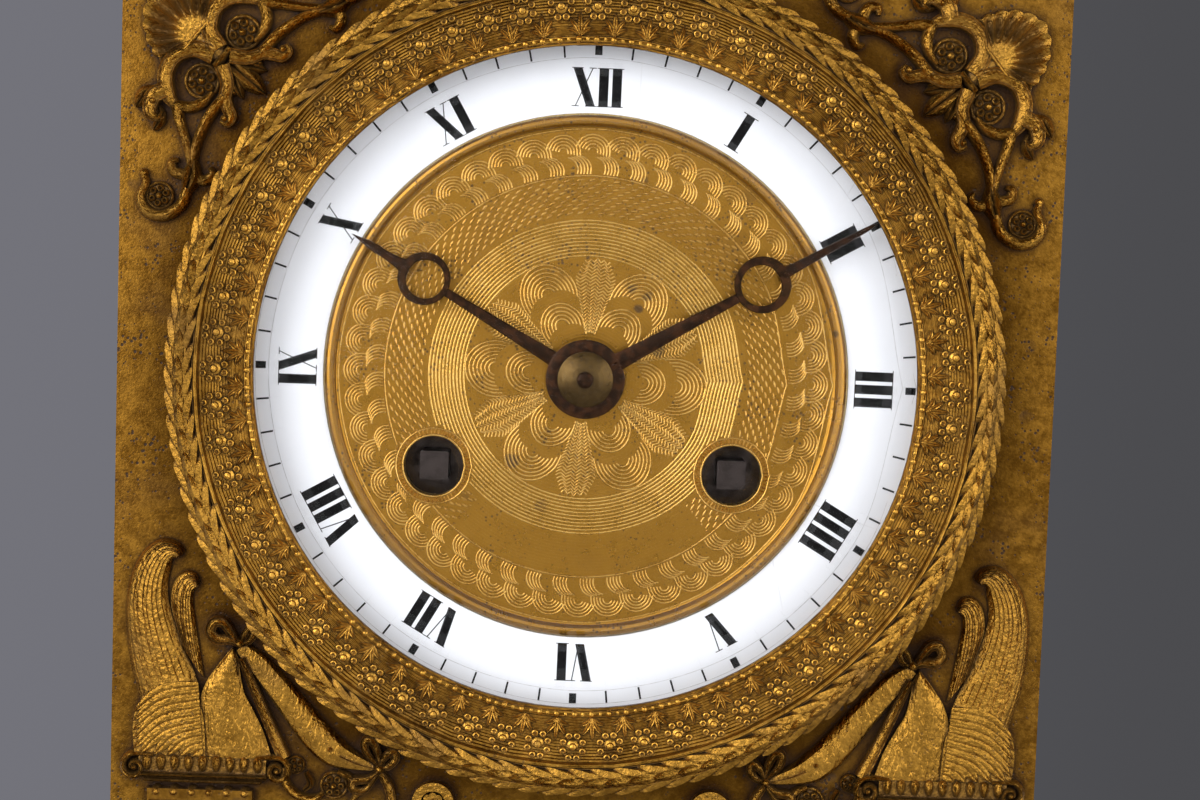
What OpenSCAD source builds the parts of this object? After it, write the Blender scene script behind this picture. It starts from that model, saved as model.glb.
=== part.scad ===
// Gilt bronze mantel clock with a round pillar-and-plate movement.
// Front faces -Y, up is +Z, origin under the middle of the base. Millimetres.

/* [Case] */
// Width of the front panel
panel_w = 150; // [148:1:165]
// Height of the front panel above the middle of the dial
panel_above = 71; // [70:1:85]
// Height of the front panel below the middle of the dial
panel_below = 130; // [128:1:145]
// Thickness of the front panel
panel_t = 4; // [3.5:0.1:4.4]
// Depth of the case from the front panel's face to the back panel's face
case_depth = 104; // [103:1:112]
// Thickness of each side panel
side_t = 4; // [3:0.5:5]
// How far the side panels stand in from the front panel's edges
side_inset = 3; // [1:0.5:4]
// Thickness of the back panel
back_t = 4; // [3:0.5:5]

/* [Base] */
// Height of the four turned feet
foot_h = 16; // [12:1:24]
// Largest radius of a foot
foot_r = 11; // [8:0.5:13]
// Width of the base
base_w = 200; // [196:1:220]
// Depth of the base
base_d = 140; // [138:1:150]
// Height of the base above its feet
plinth_h = 42; // [38:1:60]
// Wall of the hollow base
plinth_wall = 7; // [6:0.5:9]

/* [Top] */
// Height of the cornice moulding
cornice_h = 14; // [12:1:20]
// How far the cornice stands out past the panel on each side
cornice_over = 9; // [7:0.5:12]
// Height of the stepped block on the cornice
attic_h = 11; // [10:0.5:18]
// Height of the urn
urn_h = 70; // [60:1:90]
// Largest radius of the urn
urn_r = 17; // [14:0.5:22]

/* [Dial] */
// Outer radius of the enamel ring
enamel_r = 55.5; // [55:0.1:55.8]
// Radius of the gilt centre, which the enamel ring goes round
centre_r = 42; // [40:0.5:43]
// Thickness of the enamel ring
enamel_t = 1.5; // [1.2:0.1:1.8]
// How far the enamel's face lies behind the panel's face
dial_set = 1; // [0.8:0.1:1.4]
// Radius of each winding hole
wind_hole_r = 4.8; // [4.2:0.1:5.2]
// Distance of each winding arbor to the side of the dial's middle
wind_x = 24; // [23.6:0.1:24.6]
// Distance of the winding arbors below the dial's middle
wind_drop = 15; // [14.6:0.1:15.6]

/* [Bezel] */
// Outer radius of the bezel
bezel_r = 65; // [64.5:0.1:66.5]
// Height of the bezel in front of the panel
bezel_h = 10.9; // [10.5:0.1:12]
// Width of the leafy outer moulding
torus_w = 3.8; // [3.4:0.1:4.2]
// Radius of the sight edge, inside the ring of beads
sight_r = 52.2; // [51.8:0.1:52.6]
// How far the domed glass swells
glass_rise = 8.6; // [7:0.1:10]
// Thickness of the glass
glass_t = 1.4; // [1.2:0.1:1.6]

/* [Hands] */
// Length of the minute hand
minute_len = 52.2; // [46:0.1:52.4]
// Length of the hour hand
hour_len = 43.5; // [39:0.1:46]
// Outer radius of the minute hand's ring
minute_ring_r = 4.55; // [3.5:0.05:5]
// Outer radius of the hour hand's ring
hour_ring_r = 4.25; // [3.5:0.05:5]
// Thickness of each hand
hand_t = 0.6; // [0.5:0.05:0.7]

/* [Movement] */
// Radius of the movement's plates
plate_r = 46; // [45.5:0.1:47.5]
// Thickness of each movement plate
plate_t = 2; // [1.8:0.1:2.4]
// Space between the movement's plates
plate_gap = 32; // [32:0.5:36]
// Radius of the small pivots
pivot_r = 0.6; // [0.5:0.05:0.75]
// Radius of a train arbor
arbor_r = 1; // [0.9:0.05:1.1]
// Width across the flats of a winding square
square_w = 4.6; // [4:0.1:4.8]
// Radius of a spring barrel's drum
drum_r = 17.3; // [16.5:0.1:17.6]

/* [Trains] */
// Module of the barrels' teeth
barrel_module = 0.46; // [0.455:0.001:0.465]
// Radius of the pendulum bob
bob_r = 18; // [14:0.5:20]
// Length of the pendulum from its suspension to the middle of the bob
pendulum_len = 139.8; // [132:0.1:140]

/* [Bell] */
// Radius of the bell's mouth
bell_r = 30; // [28:0.5:31]
// Depth of the bell
bell_depth = 17; // [15:0.5:18]

/* [Hidden] */
$fn = 48;

// Gap between neighbours that must not touch, and the fit of a shaft in its bore
gap = 0.3;
fit = 0.06;

gilt = "goldenrod";
dark_gilt = "darkgoldenrod";
brass = "darkkhaki";
steel = "lightsteelblue";
rust = "saddlebrown";

front_y = -case_depth / 2;
back_y = case_depth / 2;
base_top = foot_h + plinth_h;
dial_z = base_top + panel_below;
case_top = dial_z + panel_above;
side_x = panel_w / 2 - side_inset;

// Heights in front of the panel's face of the bezel's members
seat_h = 5.3;
flange_t = 1.5;
open_r = enamel_r + 2.3;
flange_r = open_r + 1.7;
hinge_h = 4;
hinge_x = bezel_r - 2.3;
hinge_pin_r = 0.8;
knuckle_r = 1.7;
knuckle_half = 3;
knuckle_reach = 7;

// Depths of the dial and the movement
enamel_y = front_y + dial_set;
dial_plate_y = enamel_y + enamel_t;
dial_plate_t = 1;
dial_gap = 6.5;
plate_front = dial_plate_y + dial_plate_t + dial_gap;
inner_y = plate_front + plate_t;
inner_back = inner_y + plate_gap;
plate_rear = inner_back + plate_t;
count_y = plate_rear + 2.4;

// Levels between the plates, counted back from the front plate
centre_level = 0.8;
wheel_t = 1.4;
drum_level = 4;
drum_len = 20;
tooth_t = 2.4;
third_level = 7;
vane_level = 10;
vane_len = 7;
locking_level = 18;
escape_level = 24;
great_level = drum_level + drum_len;
rear_level = great_level + tooth_t + 1.6;

function reach(a, b) = norm(b - a);
function heading(a, b) = atan2(b[1] - a[1], b[0] - a[0]);
function from(c, r, a) = c + r * [cos(a), sin(a)];
// The crossing of two circles that lies to the left (side 1) or right (side -1) of c1 to c2
function crossing(c1, r1, c2, r2, side) =
    let (
        d = reach(c1, c2),
        along = (r1 * r1 - r2 * r2 + d * d) / (2 * d),
        out = sqrt(r1 * r1 - along * along),
        u = (c2 - c1) / d
    ) c1 + along * u + side * out * [-u[1], u[0]];
function spacing(m, a, b) = m * (a + b) / 2;

// Tooth counts and modules of the wheels
barrel_teeth = 84;
great_pinion = 12;
mid_teeth = 72;
mid_module = 0.42;
centre_pinion = 12;
centre_teeth = 80;
centre_module = 0.4;
third_pinion = 8;
third_teeth = 84;
third_module = 0.34;
escape_pinion = 7;
escape_teeth = 40;
escape_r = 10;
cannon_teeth = 14;
minute_teeth = 42;
minute_pinion = 12;
hour_teeth = 48;
motion_module = 0.5;
hour_module = motion_module * (cannon_teeth + minute_teeth) / (minute_pinion + hour_teeth);
pin_teeth = 60;
pin_module = 0.45;
locking_pinion = 10;
locking_teeth = 48;
locking_module = 0.42;
fly_pinion = 8;
count_pinion = 8;
count_teeth = 72;
count_module = 0.4;

// Where each arbor stands, from the middle of the dial: x to the right, then up
centre_at = [0, 0];
going_at = [wind_x, -wind_drop];
strike_at = [-wind_x, -wind_drop];
great_reach = spacing(barrel_module, barrel_teeth, great_pinion);
mid_at = crossing(going_at, great_reach, centre_at, spacing(mid_module, mid_teeth, centre_pinion), -1);
third_at = from(centre_at, spacing(centre_module, centre_teeth, third_pinion), 120);
escape_reach = spacing(third_module, third_teeth, escape_pinion);
escape_at = [0, third_at[1] + sqrt(escape_reach * escape_reach - third_at[0] * third_at[0])];
anchor_drop = 12.6;
anchor_at = escape_at + [0, anchor_drop];
pin_at = from(strike_at, great_reach, 86);
locking_at = from(pin_at, spacing(pin_module, pin_teeth, locking_pinion), 105);
fly_at = from(locking_at, spacing(locking_module, locking_teeth, fly_pinion), 200);
count_at = from(pin_at, spacing(count_module, count_teeth, count_pinion), -58);
hammer_off = 16;
hammer_at = pin_at - [hammer_off, 0];
minute_at = from(centre_at, spacing(motion_module, cannon_teeth, minute_teeth), 75);
bell_at = [14, -4];

pillar_ring = plate_r - 5;
pillar_angles = [28, 118, 252, 288];
dial_foot_ring = plate_r - 9;
dial_foot_angles = [55, 140, 262, 340];
strap_angles = [40, 220];

// Puts a shape drawn from the front, x right and y up, at p with its back at depth y
module at(p, y) translate([p[0], y, dial_z + p[1]]) rotate([90, 0, 0]) children();
// A flat shape at a level between the plates
module level(p, from_front, t) at(p, inner_y + from_front + t) linear_extrude(t) children();

module disc(r, y0, y1, p = [0, 0]) at(p, y1) cylinder(h = y1 - y0, r = r);
module ring_2d(r_out, r_in) difference() {
    circle(r_out);
    circle(r_in);
}
module bar_2d(a, b, wa, wb) {
    n = [a[1] - b[1], b[0] - a[0]] / reach(a, b) / 2;
    polygon([a + wa * n, a - wa * n, b - wb * n, b + wb * n]);
}

// Teeth: each is root, flank, tip and back, as a share of the pitch and a height in modules
wheel_tooth = [[-0.28, -1.05], [-0.08, 0.8], [0.08, 0.8], [0.28, -1.05]];
leaf_tooth = [[-0.22, -1.1], [-0.17, 0], [-0.07, 0.6], [0.07, 0.6], [0.17, 0], [0.22, -1.1]];
function gear_points(n, m, tooth, turn) = [
    for (i = [0:n - 1], f = tooth) from([0, 0], m * (n / 2 + f[1]), turn + 360 / n * (i + f[0]))
];
// A wheel turns one tooth towards its pinion, and a pinion turns a gap towards its wheel
module wheel_2d(n, m, toward) polygon(gear_points(n, m, wheel_tooth, toward));
module leaves_2d(n, m, toward) polygon(gear_points(n, m, leaf_tooth, toward + 180 / n));
// A wheel with its rim, arms and hub
module crossed_wheel_2d(n, m, toward, arms = 4, hub_r = 3, arm_w = 1.6) {
    rim_r = m * (n / 2 - 1.05) - 1.4;
    wheel_minus_windows() {
        wheel_2d(n, m, toward);
        windows_2d(rim_r, hub_r, arms, arm_w);
    }
}
module wheel_minus_windows() difference() {
    children(0);
    children(1);
}
module windows_2d(r_out, r_in, arms, arm_w) difference() {
    ring_2d(r_out, r_in);
    for (i = [1:arms]) rotate(360 / arms * i) translate([0, -arm_w / 2]) square([r_out + 1, arm_w]);
}
// An arbor with a pivot in each plate
module arbor(p, r = arbor_r) {
    shake = 0.25;
    disc(r, inner_y + shake, inner_back - shake, p);
    disc(pivot_r, plate_front + 0.2, plate_rear - 0.2, p);
}

// A block with mitred mouldings. Each outline point is how far in from the edge, and how high
module moulded(w, d, outline) intersection() {
    rotate([90, 0, 0]) linear_extrude(d, center = true) profile_2d(w, outline);
    rotate([90, 0, 90]) linear_extrude(w, center = true) profile_2d(d, outline);
}
module profile_2d(w, outline) polygon(concat(
    [for (p = outline) [w / 2 - p[0], p[1]]],
    [for (i = [len(outline) - 1:-1:0]) [outline[i][0] - w / 2, outline[i][1]]]
));
function arc(c, r, a0, a1, n = 6) = [for (i = [0:n]) from(c, r, a0 + (a1 - a0) * i / n)];

// The base
foot_inset = 14;
foot_peg_r = 2;
foot_peg_h = 8;
module at_feet() for (x = [-1, 1], y = [-1, 1])
    translate([x * (base_w / 2 - foot_inset), y * (base_d / 2 - foot_inset), 0]) children();
// A foot's outline, each point a share of its radius and of its height
foot_points = [
    [0, 0], [0.55, 0], [0.6, 0.12], [0.8, 0.3], [1, 0.5], [0.92, 0.62], [0.5, 0.72], [0.5, 0.8],
    [0.8, 0.84], [0.8, 1], [0, 1]
];
module feet() color(gilt) at_feet() {
    rotate_extrude() polygon([for (p = foot_points) [p[0] * foot_r, p[1] * foot_h]]);
    translate([0, 0, foot_h]) cylinder(h = foot_peg_h, r = foot_peg_r);
}
// Heights and insets of the base's mouldings: the step, the upright wall, the bead and the neck
step_h = 8;
step_cove = 4;
wall_inset = 6;
wall_foot = step_h + step_cove;
wall_head = plinth_h - 17;
bead_inset = 10;
bead_at = plinth_h - 9;
neck_inset = 12;
lip_inset = 8;
plinth_top_t = 6;
function plinth_outline() = concat(
    [[0, 0], [0, step_h]],
    arc([step_cove + 1, step_h], step_cove, 180, 90),
    [[wall_inset, wall_foot], [wall_inset, wall_head]],
    [[bead_inset, wall_head + 4]],
    arc([bead_inset, bead_at], 3, -90, -270),
    [[neck_inset, plinth_h - 6], [neck_inset, plinth_h - 4], [lip_inset, plinth_h - 3]],
    [[lip_inset, plinth_h]]
);
rod_x = side_x - side_t - 5;
rod_y = case_depth / 2 - 11;
rod_r = 2;
module at_rods() for (x = [-rod_x, rod_x], y = [-rod_y, rod_y]) translate([x, y, 0]) children();
module base_plinth() color(dark_gilt) {
    // The well under the pendulum's bob
    well_w = 2 * bob_r + 10;
    well_d = bob_t + 8;
    post = 2 * foot_inset + 2;
    inner_w = base_w - 2 * (neck_inset + plinth_wall);
    inner_d = base_d - 2 * (neck_inset + plinth_wall);
    hollow_h = plinth_h - plinth_top_t + 1;
    difference() {
        translate([0, 0, foot_h]) moulded(base_w, base_d, plinth_outline());
        translate([-inner_w / 2, post - base_d / 2, foot_h - 1])
            cube([inner_w, base_d - 2 * post, hollow_h]);
        translate([post - base_w / 2, -inner_d / 2, foot_h - 1])
            cube([base_w - 2 * post, inner_d, hollow_h]);
        at_rods() translate([0, 0, foot_h]) cylinder(h = plinth_h + 1, r = rod_r + 0.1);
        at_rods() translate([0, 0, foot_h - 1]) cylinder(h = hollow_h, r = 5);
        at_feet() translate([0, 0, foot_h - 1]) cylinder(h = foot_peg_h + 2, r = foot_peg_r + 0.05);
        translate([-well_w / 2, pendulum_y - well_d / 2, foot_h]) cube([well_w, well_d, plinth_h + 1]);
    }
}
module base_mount() color(gilt) {
    z = foot_h + (wall_foot + wall_head) / 2;
    translate([0, wall_inset - base_d / 2, z]) rotate([90, 0, 0]) {
        linear_extrude(1.6) {
            for (s = [-1, 1], i = [0:4]) translate([s * (9 + 9 * i), 0]) rotate(s * 90) leaf_2d(9, 5);
            circle(5);
        }
        cylinder(h = 3, r = 2.6);
    }
}
// A pointed leaf that grows up from its foot
module leaf_2d(len, w) polygon(concat(
    [for (i = [0:6]) [w / 2 * sin(180 * pow(i / 6, 0.8)), len * i / 6]],
    [for (i = [5:-1:1]) [-w / 2 * sin(180 * pow(i / 6, 0.8)), len * i / 6]]
));
module tie_rods() color(steel) at_rods() {
    nut_h = 3;
    nut_r = 3.6;
    seat_z = foot_h + plinth_h - plinth_top_t;
    translate([0, 0, seat_z - nut_h - 1])
        cylinder(h = attic_z - seat_z + 2 * nut_h + 2, r = rod_r);
    translate([0, 0, seat_z - nut_h]) cylinder(h = nut_h, r = nut_r, $fn = 6);
    translate([0, 0, attic_z]) cylinder(h = nut_h, r = nut_r, $fn = 6);
}

// The case
module front_panel() color(dark_gilt) difference() {
    translate([-panel_w / 2, front_y, base_top]) cube([panel_w, panel_t, case_top - base_top]);
    disc(open_r, front_y - 1, front_y + panel_t + 1);
}
module side_panel(s) color(dark_gilt)
    translate([s > 0 ? side_x - side_t : -side_x, front_y + panel_t, base_top])
        cube([side_t, case_depth - panel_t - back_t, case_top - base_top]);
module left_side() side_panel(-1);
module right_side() side_panel(1);
back_hole_r = plate_r + 4;
strap_screw_ring = back_hole_r + 4.8;
front_screw_ring = strap_screw_ring - 0.9;
front_screw_r = 1.3;
module at_strap_screws(ring) for (a = strap_angles) rotate(a) translate([ring, 0]) children();
module back_panel() color(dark_gilt) difference() {
    translate([-side_x, back_y - back_t, base_top]) cube([2 * side_x, back_t, case_top - base_top]);
    disc(back_hole_r, back_y - back_t - 1, back_y + 1);
    at([0, 0], back_y + 1) at_strap_screws(strap_screw_ring) cylinder(h = back_t + 2, r = 1.6);
}
wreath_r = 24;
module side_wreaths() color(gilt) for (s = [-1, 1])
    translate([s * side_x, 0, dial_z]) rotate([0, s * 90, 0]) {
        rotate_extrude() translate([wreath_r, 0]) intersection() {
            circle(2.6);
            translate([-4, 0]) square([8, 4]);
        }
        linear_extrude(1.4) {
            for (i = [0:7]) rotate(45 * i) translate([3, 0]) rotate(-90) leaf_2d(12, 6);
            circle(4.5);
        }
        cylinder(h = 3, r = 3);
    }
function cornice_outline() = concat(
    [[7, 0], [7, 2], [6, 2]],
    arc([0, 2.5], 6, 180, 90),
    [[0, 8.5], [0, cornice_h - 2.5], [1.5, cornice_h - 1.5], [1.5, cornice_h]]
);
module cornice() color(dark_gilt) difference() {
    translate([0, 0, case_top])
        moulded(panel_w + 2 * cornice_over, case_depth + 2 * cornice_over, cornice_outline());
    at_rods() translate([0, 0, case_top - 1]) cylinder(h = cornice_h + 2, r = rod_r + 0.1);
}
attic_w = panel_w - 4;
attic_d = case_depth - 8;
attic_z = case_top + cornice_h;
module attic() color(dark_gilt) difference() {
    translate([0, 0, attic_z]) moulded(attic_w, attic_d, concat(
        [[0, 0], [0, 3], [2, 3]], arc([2, attic_h - 5], 2, 0, 90, 3), [[8, attic_h - 2], [8, attic_h]]
    ));
    translate([3 - attic_w / 2, 3 - attic_d / 2, attic_z - 1]) cube([attic_w - 6, attic_d - 6, 5]);
    translate([0, 0, attic_z]) cylinder(h = attic_h + 1, r = 2.55);
}
// The urn's outline, each point a share of its radius and of its height
urn_points = [
    [0.72, 0], [0.72, 0.05], [0.5, 0.08], [0.3, 0.13], [0.22, 0.2], [0.3, 0.225], [0.24, 0.25],
    [0.45, 0.3], [0.75, 0.38], [0.95, 0.5], [1, 0.6], [0.94, 0.66], [0.6, 0.7], [0.52, 0.75],
    [0.78, 0.8], [0.8, 0.83], [0.5, 0.86], [0.26, 0.9], [0.14, 0.92], [0.18, 0.95], [0.12, 0.985], [0, 1]
];
module urn() color(gilt) {
    z = attic_z + attic_h;
    translate([0, 0, z]) rotate_extrude()
        polygon(concat([[0, 0]], [for (p = urn_points) [p[0] * urn_r, p[1] * urn_h]]));
    translate([0, 0, z - 6]) cylinder(h = 7, r = 2.5);
    for (s = [-1, 1]) translate([s * urn_r * 0.86, 0, z + urn_h * 0.66]) rotate([90, 0, 0])
        rotate_extrude() translate([urn_r * 0.26, 0]) circle(urn_r * 0.07, $fn = 16);
}

// Ornaments on the front panel
mount_t = 2;
// Middle of the fan of an upper corner mount, from the dial's middle, and its heading
fan_at = [62.7, 51.4];
fan_heading = 39;
fan_r = 10.5;
fan_flutes = 13;
bud_reach = 22;
bud_spread = 54;
end_reach = 24.7;
end_spread = 64.8;
rosette_reach = 6.5;
rosette_spread = 53;
rosette_r = 2.9;
module rosette(r, p) translate(p) {
    for (i = [0:7]) rotate(45 * i) translate([r * 0.66, 0])
        cylinder(h = mount_t + 0.3, r = r * 0.36, $fn = 16);
    cylinder(h = mount_t + 0.9, r = r * 0.34);
}
// A stem that bends once, from a by way of b to c, as a chain of short tapering lengths
function bend(a, b, c, t) = (1 - t) * (1 - t) * a + 2 * t * (1 - t) * b + t * t * c;
module stem_2d(a, b, c, w0, w1, n = 8) {
    for (i = [0:n - 1]) {
        w = w0 + (w1 - w0) * i / n;
        bar_2d(bend(a, b, c, i / n), bend(a, b, c, (i + 1) / n), w, w);
        translate(bend(a, b, c, (i + 1) / n)) circle(w / 2, $fn = 12);
    }
}
module corner_mount() translate(fan_at) rotate(fan_heading) {
    linear_extrude(mount_t) {
        for (i = [0:fan_flutes - 1]) {
            a = -105 + 210 * i / (fan_flutes - 1);
            rotate(a - 90) leaf_2d(fan_r - 2.2 * pow(a / 105, 2), 2.5);
        }
        circle(2.6);
        rotate(90) leaf_2d(11.5, 5.4);
        for (s = [-1, 1]) {
            bud = from([0, 0], bud_reach, 180 + s * bud_spread);
            tip = from([0, 0], end_reach, 180 + s * end_spread);
            translate(from([0, 0], rosette_reach, 180 + s * rosette_spread)) ring_2d(4.3, 3.2);
            stem_2d([-3, s * 1], from([0, 0], 12, 180 + s * 30), bud, 1.9, 1.1);
            stem_2d([0, s * 2], from([0, 0], 14, 180 + s * 85), bud, 1.5, 0.9);
            stem_2d(bud, from([0, 0], end_reach, 180 + s * 52), tip, 1.1, 0.8);
            translate(bud) rotate(s * bud_spread - 90 + 180) leaf_2d(4.6, 3);
        }
    }
    for (s = [-1, 1]) {
        rosette(rosette_r, from([0, 0], rosette_reach, 180 + s * rosette_spread));
        rosette(2.5, from([0, 0], end_reach, 180 + s * end_spread));
    }
}
module upper_right_mount() color(gilt) at([0, 0], front_y) corner_mount();
module upper_left_mount() color(gilt) at([0, 0], front_y) mirror([1, 0, 0]) corner_mount();

// The right-hand swan, which faces the middle, on its capital
capital_x = 60.2;
capital_w = 21;
capital_top = -63;
wing_points = [
    [64.4, -30.9], [63.2, -30.2], [63.9, -28.5], [66.2, -27.9], [68.4, -28.6], [70.1, -29.9],
    [71.6, -32.3], [72.4, -35.4], [72.8, -39.4], [72.4, -44.9], [71.4, -49.8], [70.5, -53.3],
    [71.1, -57.1], [71, -60.5], [70.4, -63.2], [59, -63.2], [59.8, -58], [60.2, -54],
    [62.3, -48], [64.7, -42.4], [66, -37.5], [65.6, -33.4]
];
far_wing_points = [
    [65.9, -37.9], [65.4, -35.2], [64.5, -33.8], [62.8, -33], [61.4, -33.5], [60.8, -35],
    [61.9, -36.2], [62, -38.5], [61.5, -41.5], [61, -44.4], [60.3, -47], [59.6, -49],
    [60.2, -54.5], [62.5, -48], [64.7, -42.4]
];
breast_points = [
    [59.7, -49.2], [58.8, -47.4], [57.4, -46], [55.8, -45.2], [54.3, -46.4], [54.2, -48.6],
    [53.7, -52.3], [52, -55.2], [50.2, -58.6], [48.6, -63.2], [59.2, -63.2], [60, -55]
];
neck_points = [
    [55, -45], [53.2, -44.6], [50.6, -47], [48.2, -49.4], [45.2, -52.8], [42, -55.8],
    [39.2, -58.1], [36.6, -59.8], [34.2, -61.9], [31.6, -63.9], [31.8, -64.7], [34.6, -64.7],
    [38, -64.2], [41.2, -63], [43.4, -61.2], [45.2, -58.9], [47.4, -55.4], [50.2, -51.6],
    [52.2, -49.4], [53.6, -47.6]
];
module swan_mount() {
    linear_extrude(mount_t) {
        polygon(wing_points);
        polygon(breast_points);
        bar_2d([53.6, -47.5], [46.6, -63.1], 1.3, 1.9);
        translate([57.4, -42.6]) ring_2d(2.1, 1);
        stem_2d([56.2, -43.6], [55, -44.4], [54, -45], 1.4, 1.4);
    }
    linear_extrude(mount_t - 0.5) polygon(far_wing_points);
    linear_extrude(mount_t + 0.5) polygon(neck_points);
    rosette(1.3, [54.3, -44]);
    rosette(1.6, [31.3, -64.3]);
    rosette(2.4, [37.5, -67]);
    linear_extrude(mount_t) stem_2d([31, -64], [34, -69.5], [44, -68], 1.4, 1.2);
    linear_extrude(mount_t + 0.6) {
        translate([capital_x - capital_w / 2, capital_top - 3]) square([capital_w, 3]);
        translate([capital_x - capital_w / 2 + 1, capital_top - 5.6]) square([capital_w - 2, 2.6]);
        for (s = [-1, 1]) translate([capital_x + s * capital_w / 2, capital_top - 2]) circle(2.3);
    }
}
module right_swan() color(gilt) at([0, 0], front_y) swan_mount();
module left_swan() color(gilt) at([0, 0], front_y) mirror([1, 0, 0]) swan_mount();
pilaster_top = capital_top - 5.6;
module pilasters() color(gilt) at([0, 0], front_y) for (s = [-1, 1]) translate([s * capital_x, 0]) {
    w = capital_w - 4;
    bottom = -panel_below;
    translate([-w / 2, bottom]) cube([w, pilaster_top - bottom, 1.6]);
    for (i = [-2:2]) translate([i * 2.8, bottom + 9, 1.6]) cylinder_bar(pilaster_top - bottom - 13, 1);
    translate([-w / 2 - 1.5, bottom]) cube([w + 3, 5, 3]);
}
// Half a round bar that lies on a face and runs up
module cylinder_bar(len, r) rotate([-90, 0, 0]) intersection() {
    cylinder(h = len, r = r, $fn = 24);
    translate([-r, -r, 0]) cube([2 * r, r, len]);
}
module lower_centre_mount() color(gilt) at([0, 0], front_y) {
    z = -92;
    linear_extrude(mount_t) {
        for (s = [-1, 1]) {
            translate([s * 22.4, -69.5]) ring_2d(3.4, 2);
            stem_2d([s * 25.6, -69.5], [s * 27, -82], [s * 12, z], 1.6, 2.4);
            stem_2d([s * 12, z], [s * 4, z - 6], [s * 8, z - 12], 2.2, 1.4);
            translate([s * 12, z - 13]) ring_2d(4.2, 2.6);
            stem_2d([0, z - 17], [s * 6, z - 22], [s * 12, z - 17], 1.8, 1.4);
        }
        for (i = [0:8]) translate([0, z]) rotate(-80 + 20 * i) leaf_2d(15 - 0.06 * pow(i - 4, 2) * 5, 4.2);
        translate([-12, z - 2]) square([24, 3]);
        translate([-1.2, z - 20]) square([2.4, 19]);
    }
    rosette(3, [0, z]);
    for (s = [-1, 1]) rosette(1.8, [s * 22.4, -69.5]);
}

// The dial
module dial_flange() color(brass) difference() {
    union() {
        disc(flange_r, front_y - flange_t, front_y);
        disc(open_r - gap, front_y - 0.1, plate_front - 4.3);
        // The plate under the hinge, and the fixed knuckle with its pin
        translate([flange_r - 3, front_y - flange_t, dial_z - knuckle_half])
            cube([hinge_x + 1.5 - flange_r + 3, flange_t, 2 * knuckle_half]);
        translate([hinge_x - 1.2, front_y - hinge_h, dial_z - knuckle_half])
            cube([2.4, hinge_h - flange_t + 0.2, 2 * knuckle_half]);
        about_hinge(-knuckle_half, knuckle_half, knuckle_r);
        about_hinge(-knuckle_reach, knuckle_reach, hinge_pin_r);
    }
    disc(open_r - gap - 1.2, front_y - flange_t - 1, dial_plate_y + dial_plate_t + 0.2);
    difference() {
        disc(open_r - gap - 1.2, dial_plate_y, plate_front);
        for (a = strap_angles) at([0, 0], plate_front) rotate(a) translate([back_hole_r + 0.6, -5, -1])
            cube([20, 10, plate_front - dial_plate_y + 2]);
    }
    at([0, 0], plate_front) at_strap_screws(front_screw_ring) cylinder(h = 10, r = front_screw_r);
}
module winding_holes(r, y0, y1) for (p = [going_at, strike_at]) disc(r, y0, y1, p);
module dial_plate() color(brass) {
    difference() {
        disc(enamel_r + 0.4, dial_plate_y, dial_plate_y + dial_plate_t);
        disc(3.6, dial_plate_y - 1, dial_plate_y + dial_plate_t + 1);
        winding_holes(wind_hole_r, dial_plate_y - 1, dial_plate_y + dial_plate_t + 1);
    }
    for (a = dial_foot_angles)
        disc(1.6, dial_plate_y + dial_plate_t, plate_front, from([0, 0], dial_foot_ring, a));
}
// The enamel swells a little between its edges
enamel_swell = 0.35;
enamel_half = (enamel_r - centre_r) / 2 - 0.1;
enamel_arc = (enamel_half * enamel_half + enamel_swell * enamel_swell) / (2 * enamel_swell);
module enamel_ring() color("white") at([0, 0], dial_plate_y) rotate_extrude($fn = 96) {
    lean = asin(enamel_half / enamel_arc);
    polygon(concat(
        [[centre_r + 0.2, 0], [enamel_r, 0]],
        arc([enamel_r - enamel_half, enamel_t - enamel_arc], enamel_arc, 90 - lean, 90 + lean, 8)
    ));
}
module gilt_centre() color(gilt) difference() {
    at([0, 0], dial_plate_y) rotate_extrude($fn = 96) polygon(concat(
        [[0, 0], [centre_r, 0]],
        arc([centre_r - 1, enamel_t - 0.1], 0.9, 0, 180),
        [[centre_r - 2.4, enamel_t - 0.3], [0, enamel_t - 0.3]]
    ));
    disc(3.6, dial_plate_y - 5, dial_plate_y + 1);
    winding_holes(wind_hole_r, dial_plate_y - 5, dial_plate_y + 1);
}

// The bezel, which swings on its hinge with the glass. Outline points are radius, then height
torus_r = torus_w / 2;
band_out = bezel_r - torus_w - 1;
bead_r = sight_r + 0.85;
// The hollow band that slopes down to the ring of beads
band_in = bead_r + 0.6;
band_low = seat_h + 1;
band_high = bezel_h - 2;
band_rise = band_high - band_low;
band_r = (pow(band_out - band_in, 2) + pow(band_rise, 2)) / (2 * band_rise);
band_turn = asin((band_out - band_in) / band_r);
function bezel_outline() = concat(
    [[band_out - 0.2, 1.8], [band_out - 0.2, gap], [bezel_r, gap]],
    arc([bezel_r - torus_r, bezel_h - torus_r], torus_r, 0, 180, 10),
    [[bezel_r - torus_w, bezel_h - 1.2]],
    arc([band_out + 0.5, bezel_h - 1.2], 0.45, 0, 180, 5),
    arc([band_in, band_low + band_r], band_r, band_turn - 90, -90, 5),
    arc([bead_r, seat_h + 0.9], 0.55, 0, 180, 6),
    [[sight_r, seat_h + 0.7], [sight_r, seat_h], [sight_r + 1.4, seat_h]],
    [[sight_r + 1.4, 3], [sight_r + 3, 1.8]]
);
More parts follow.
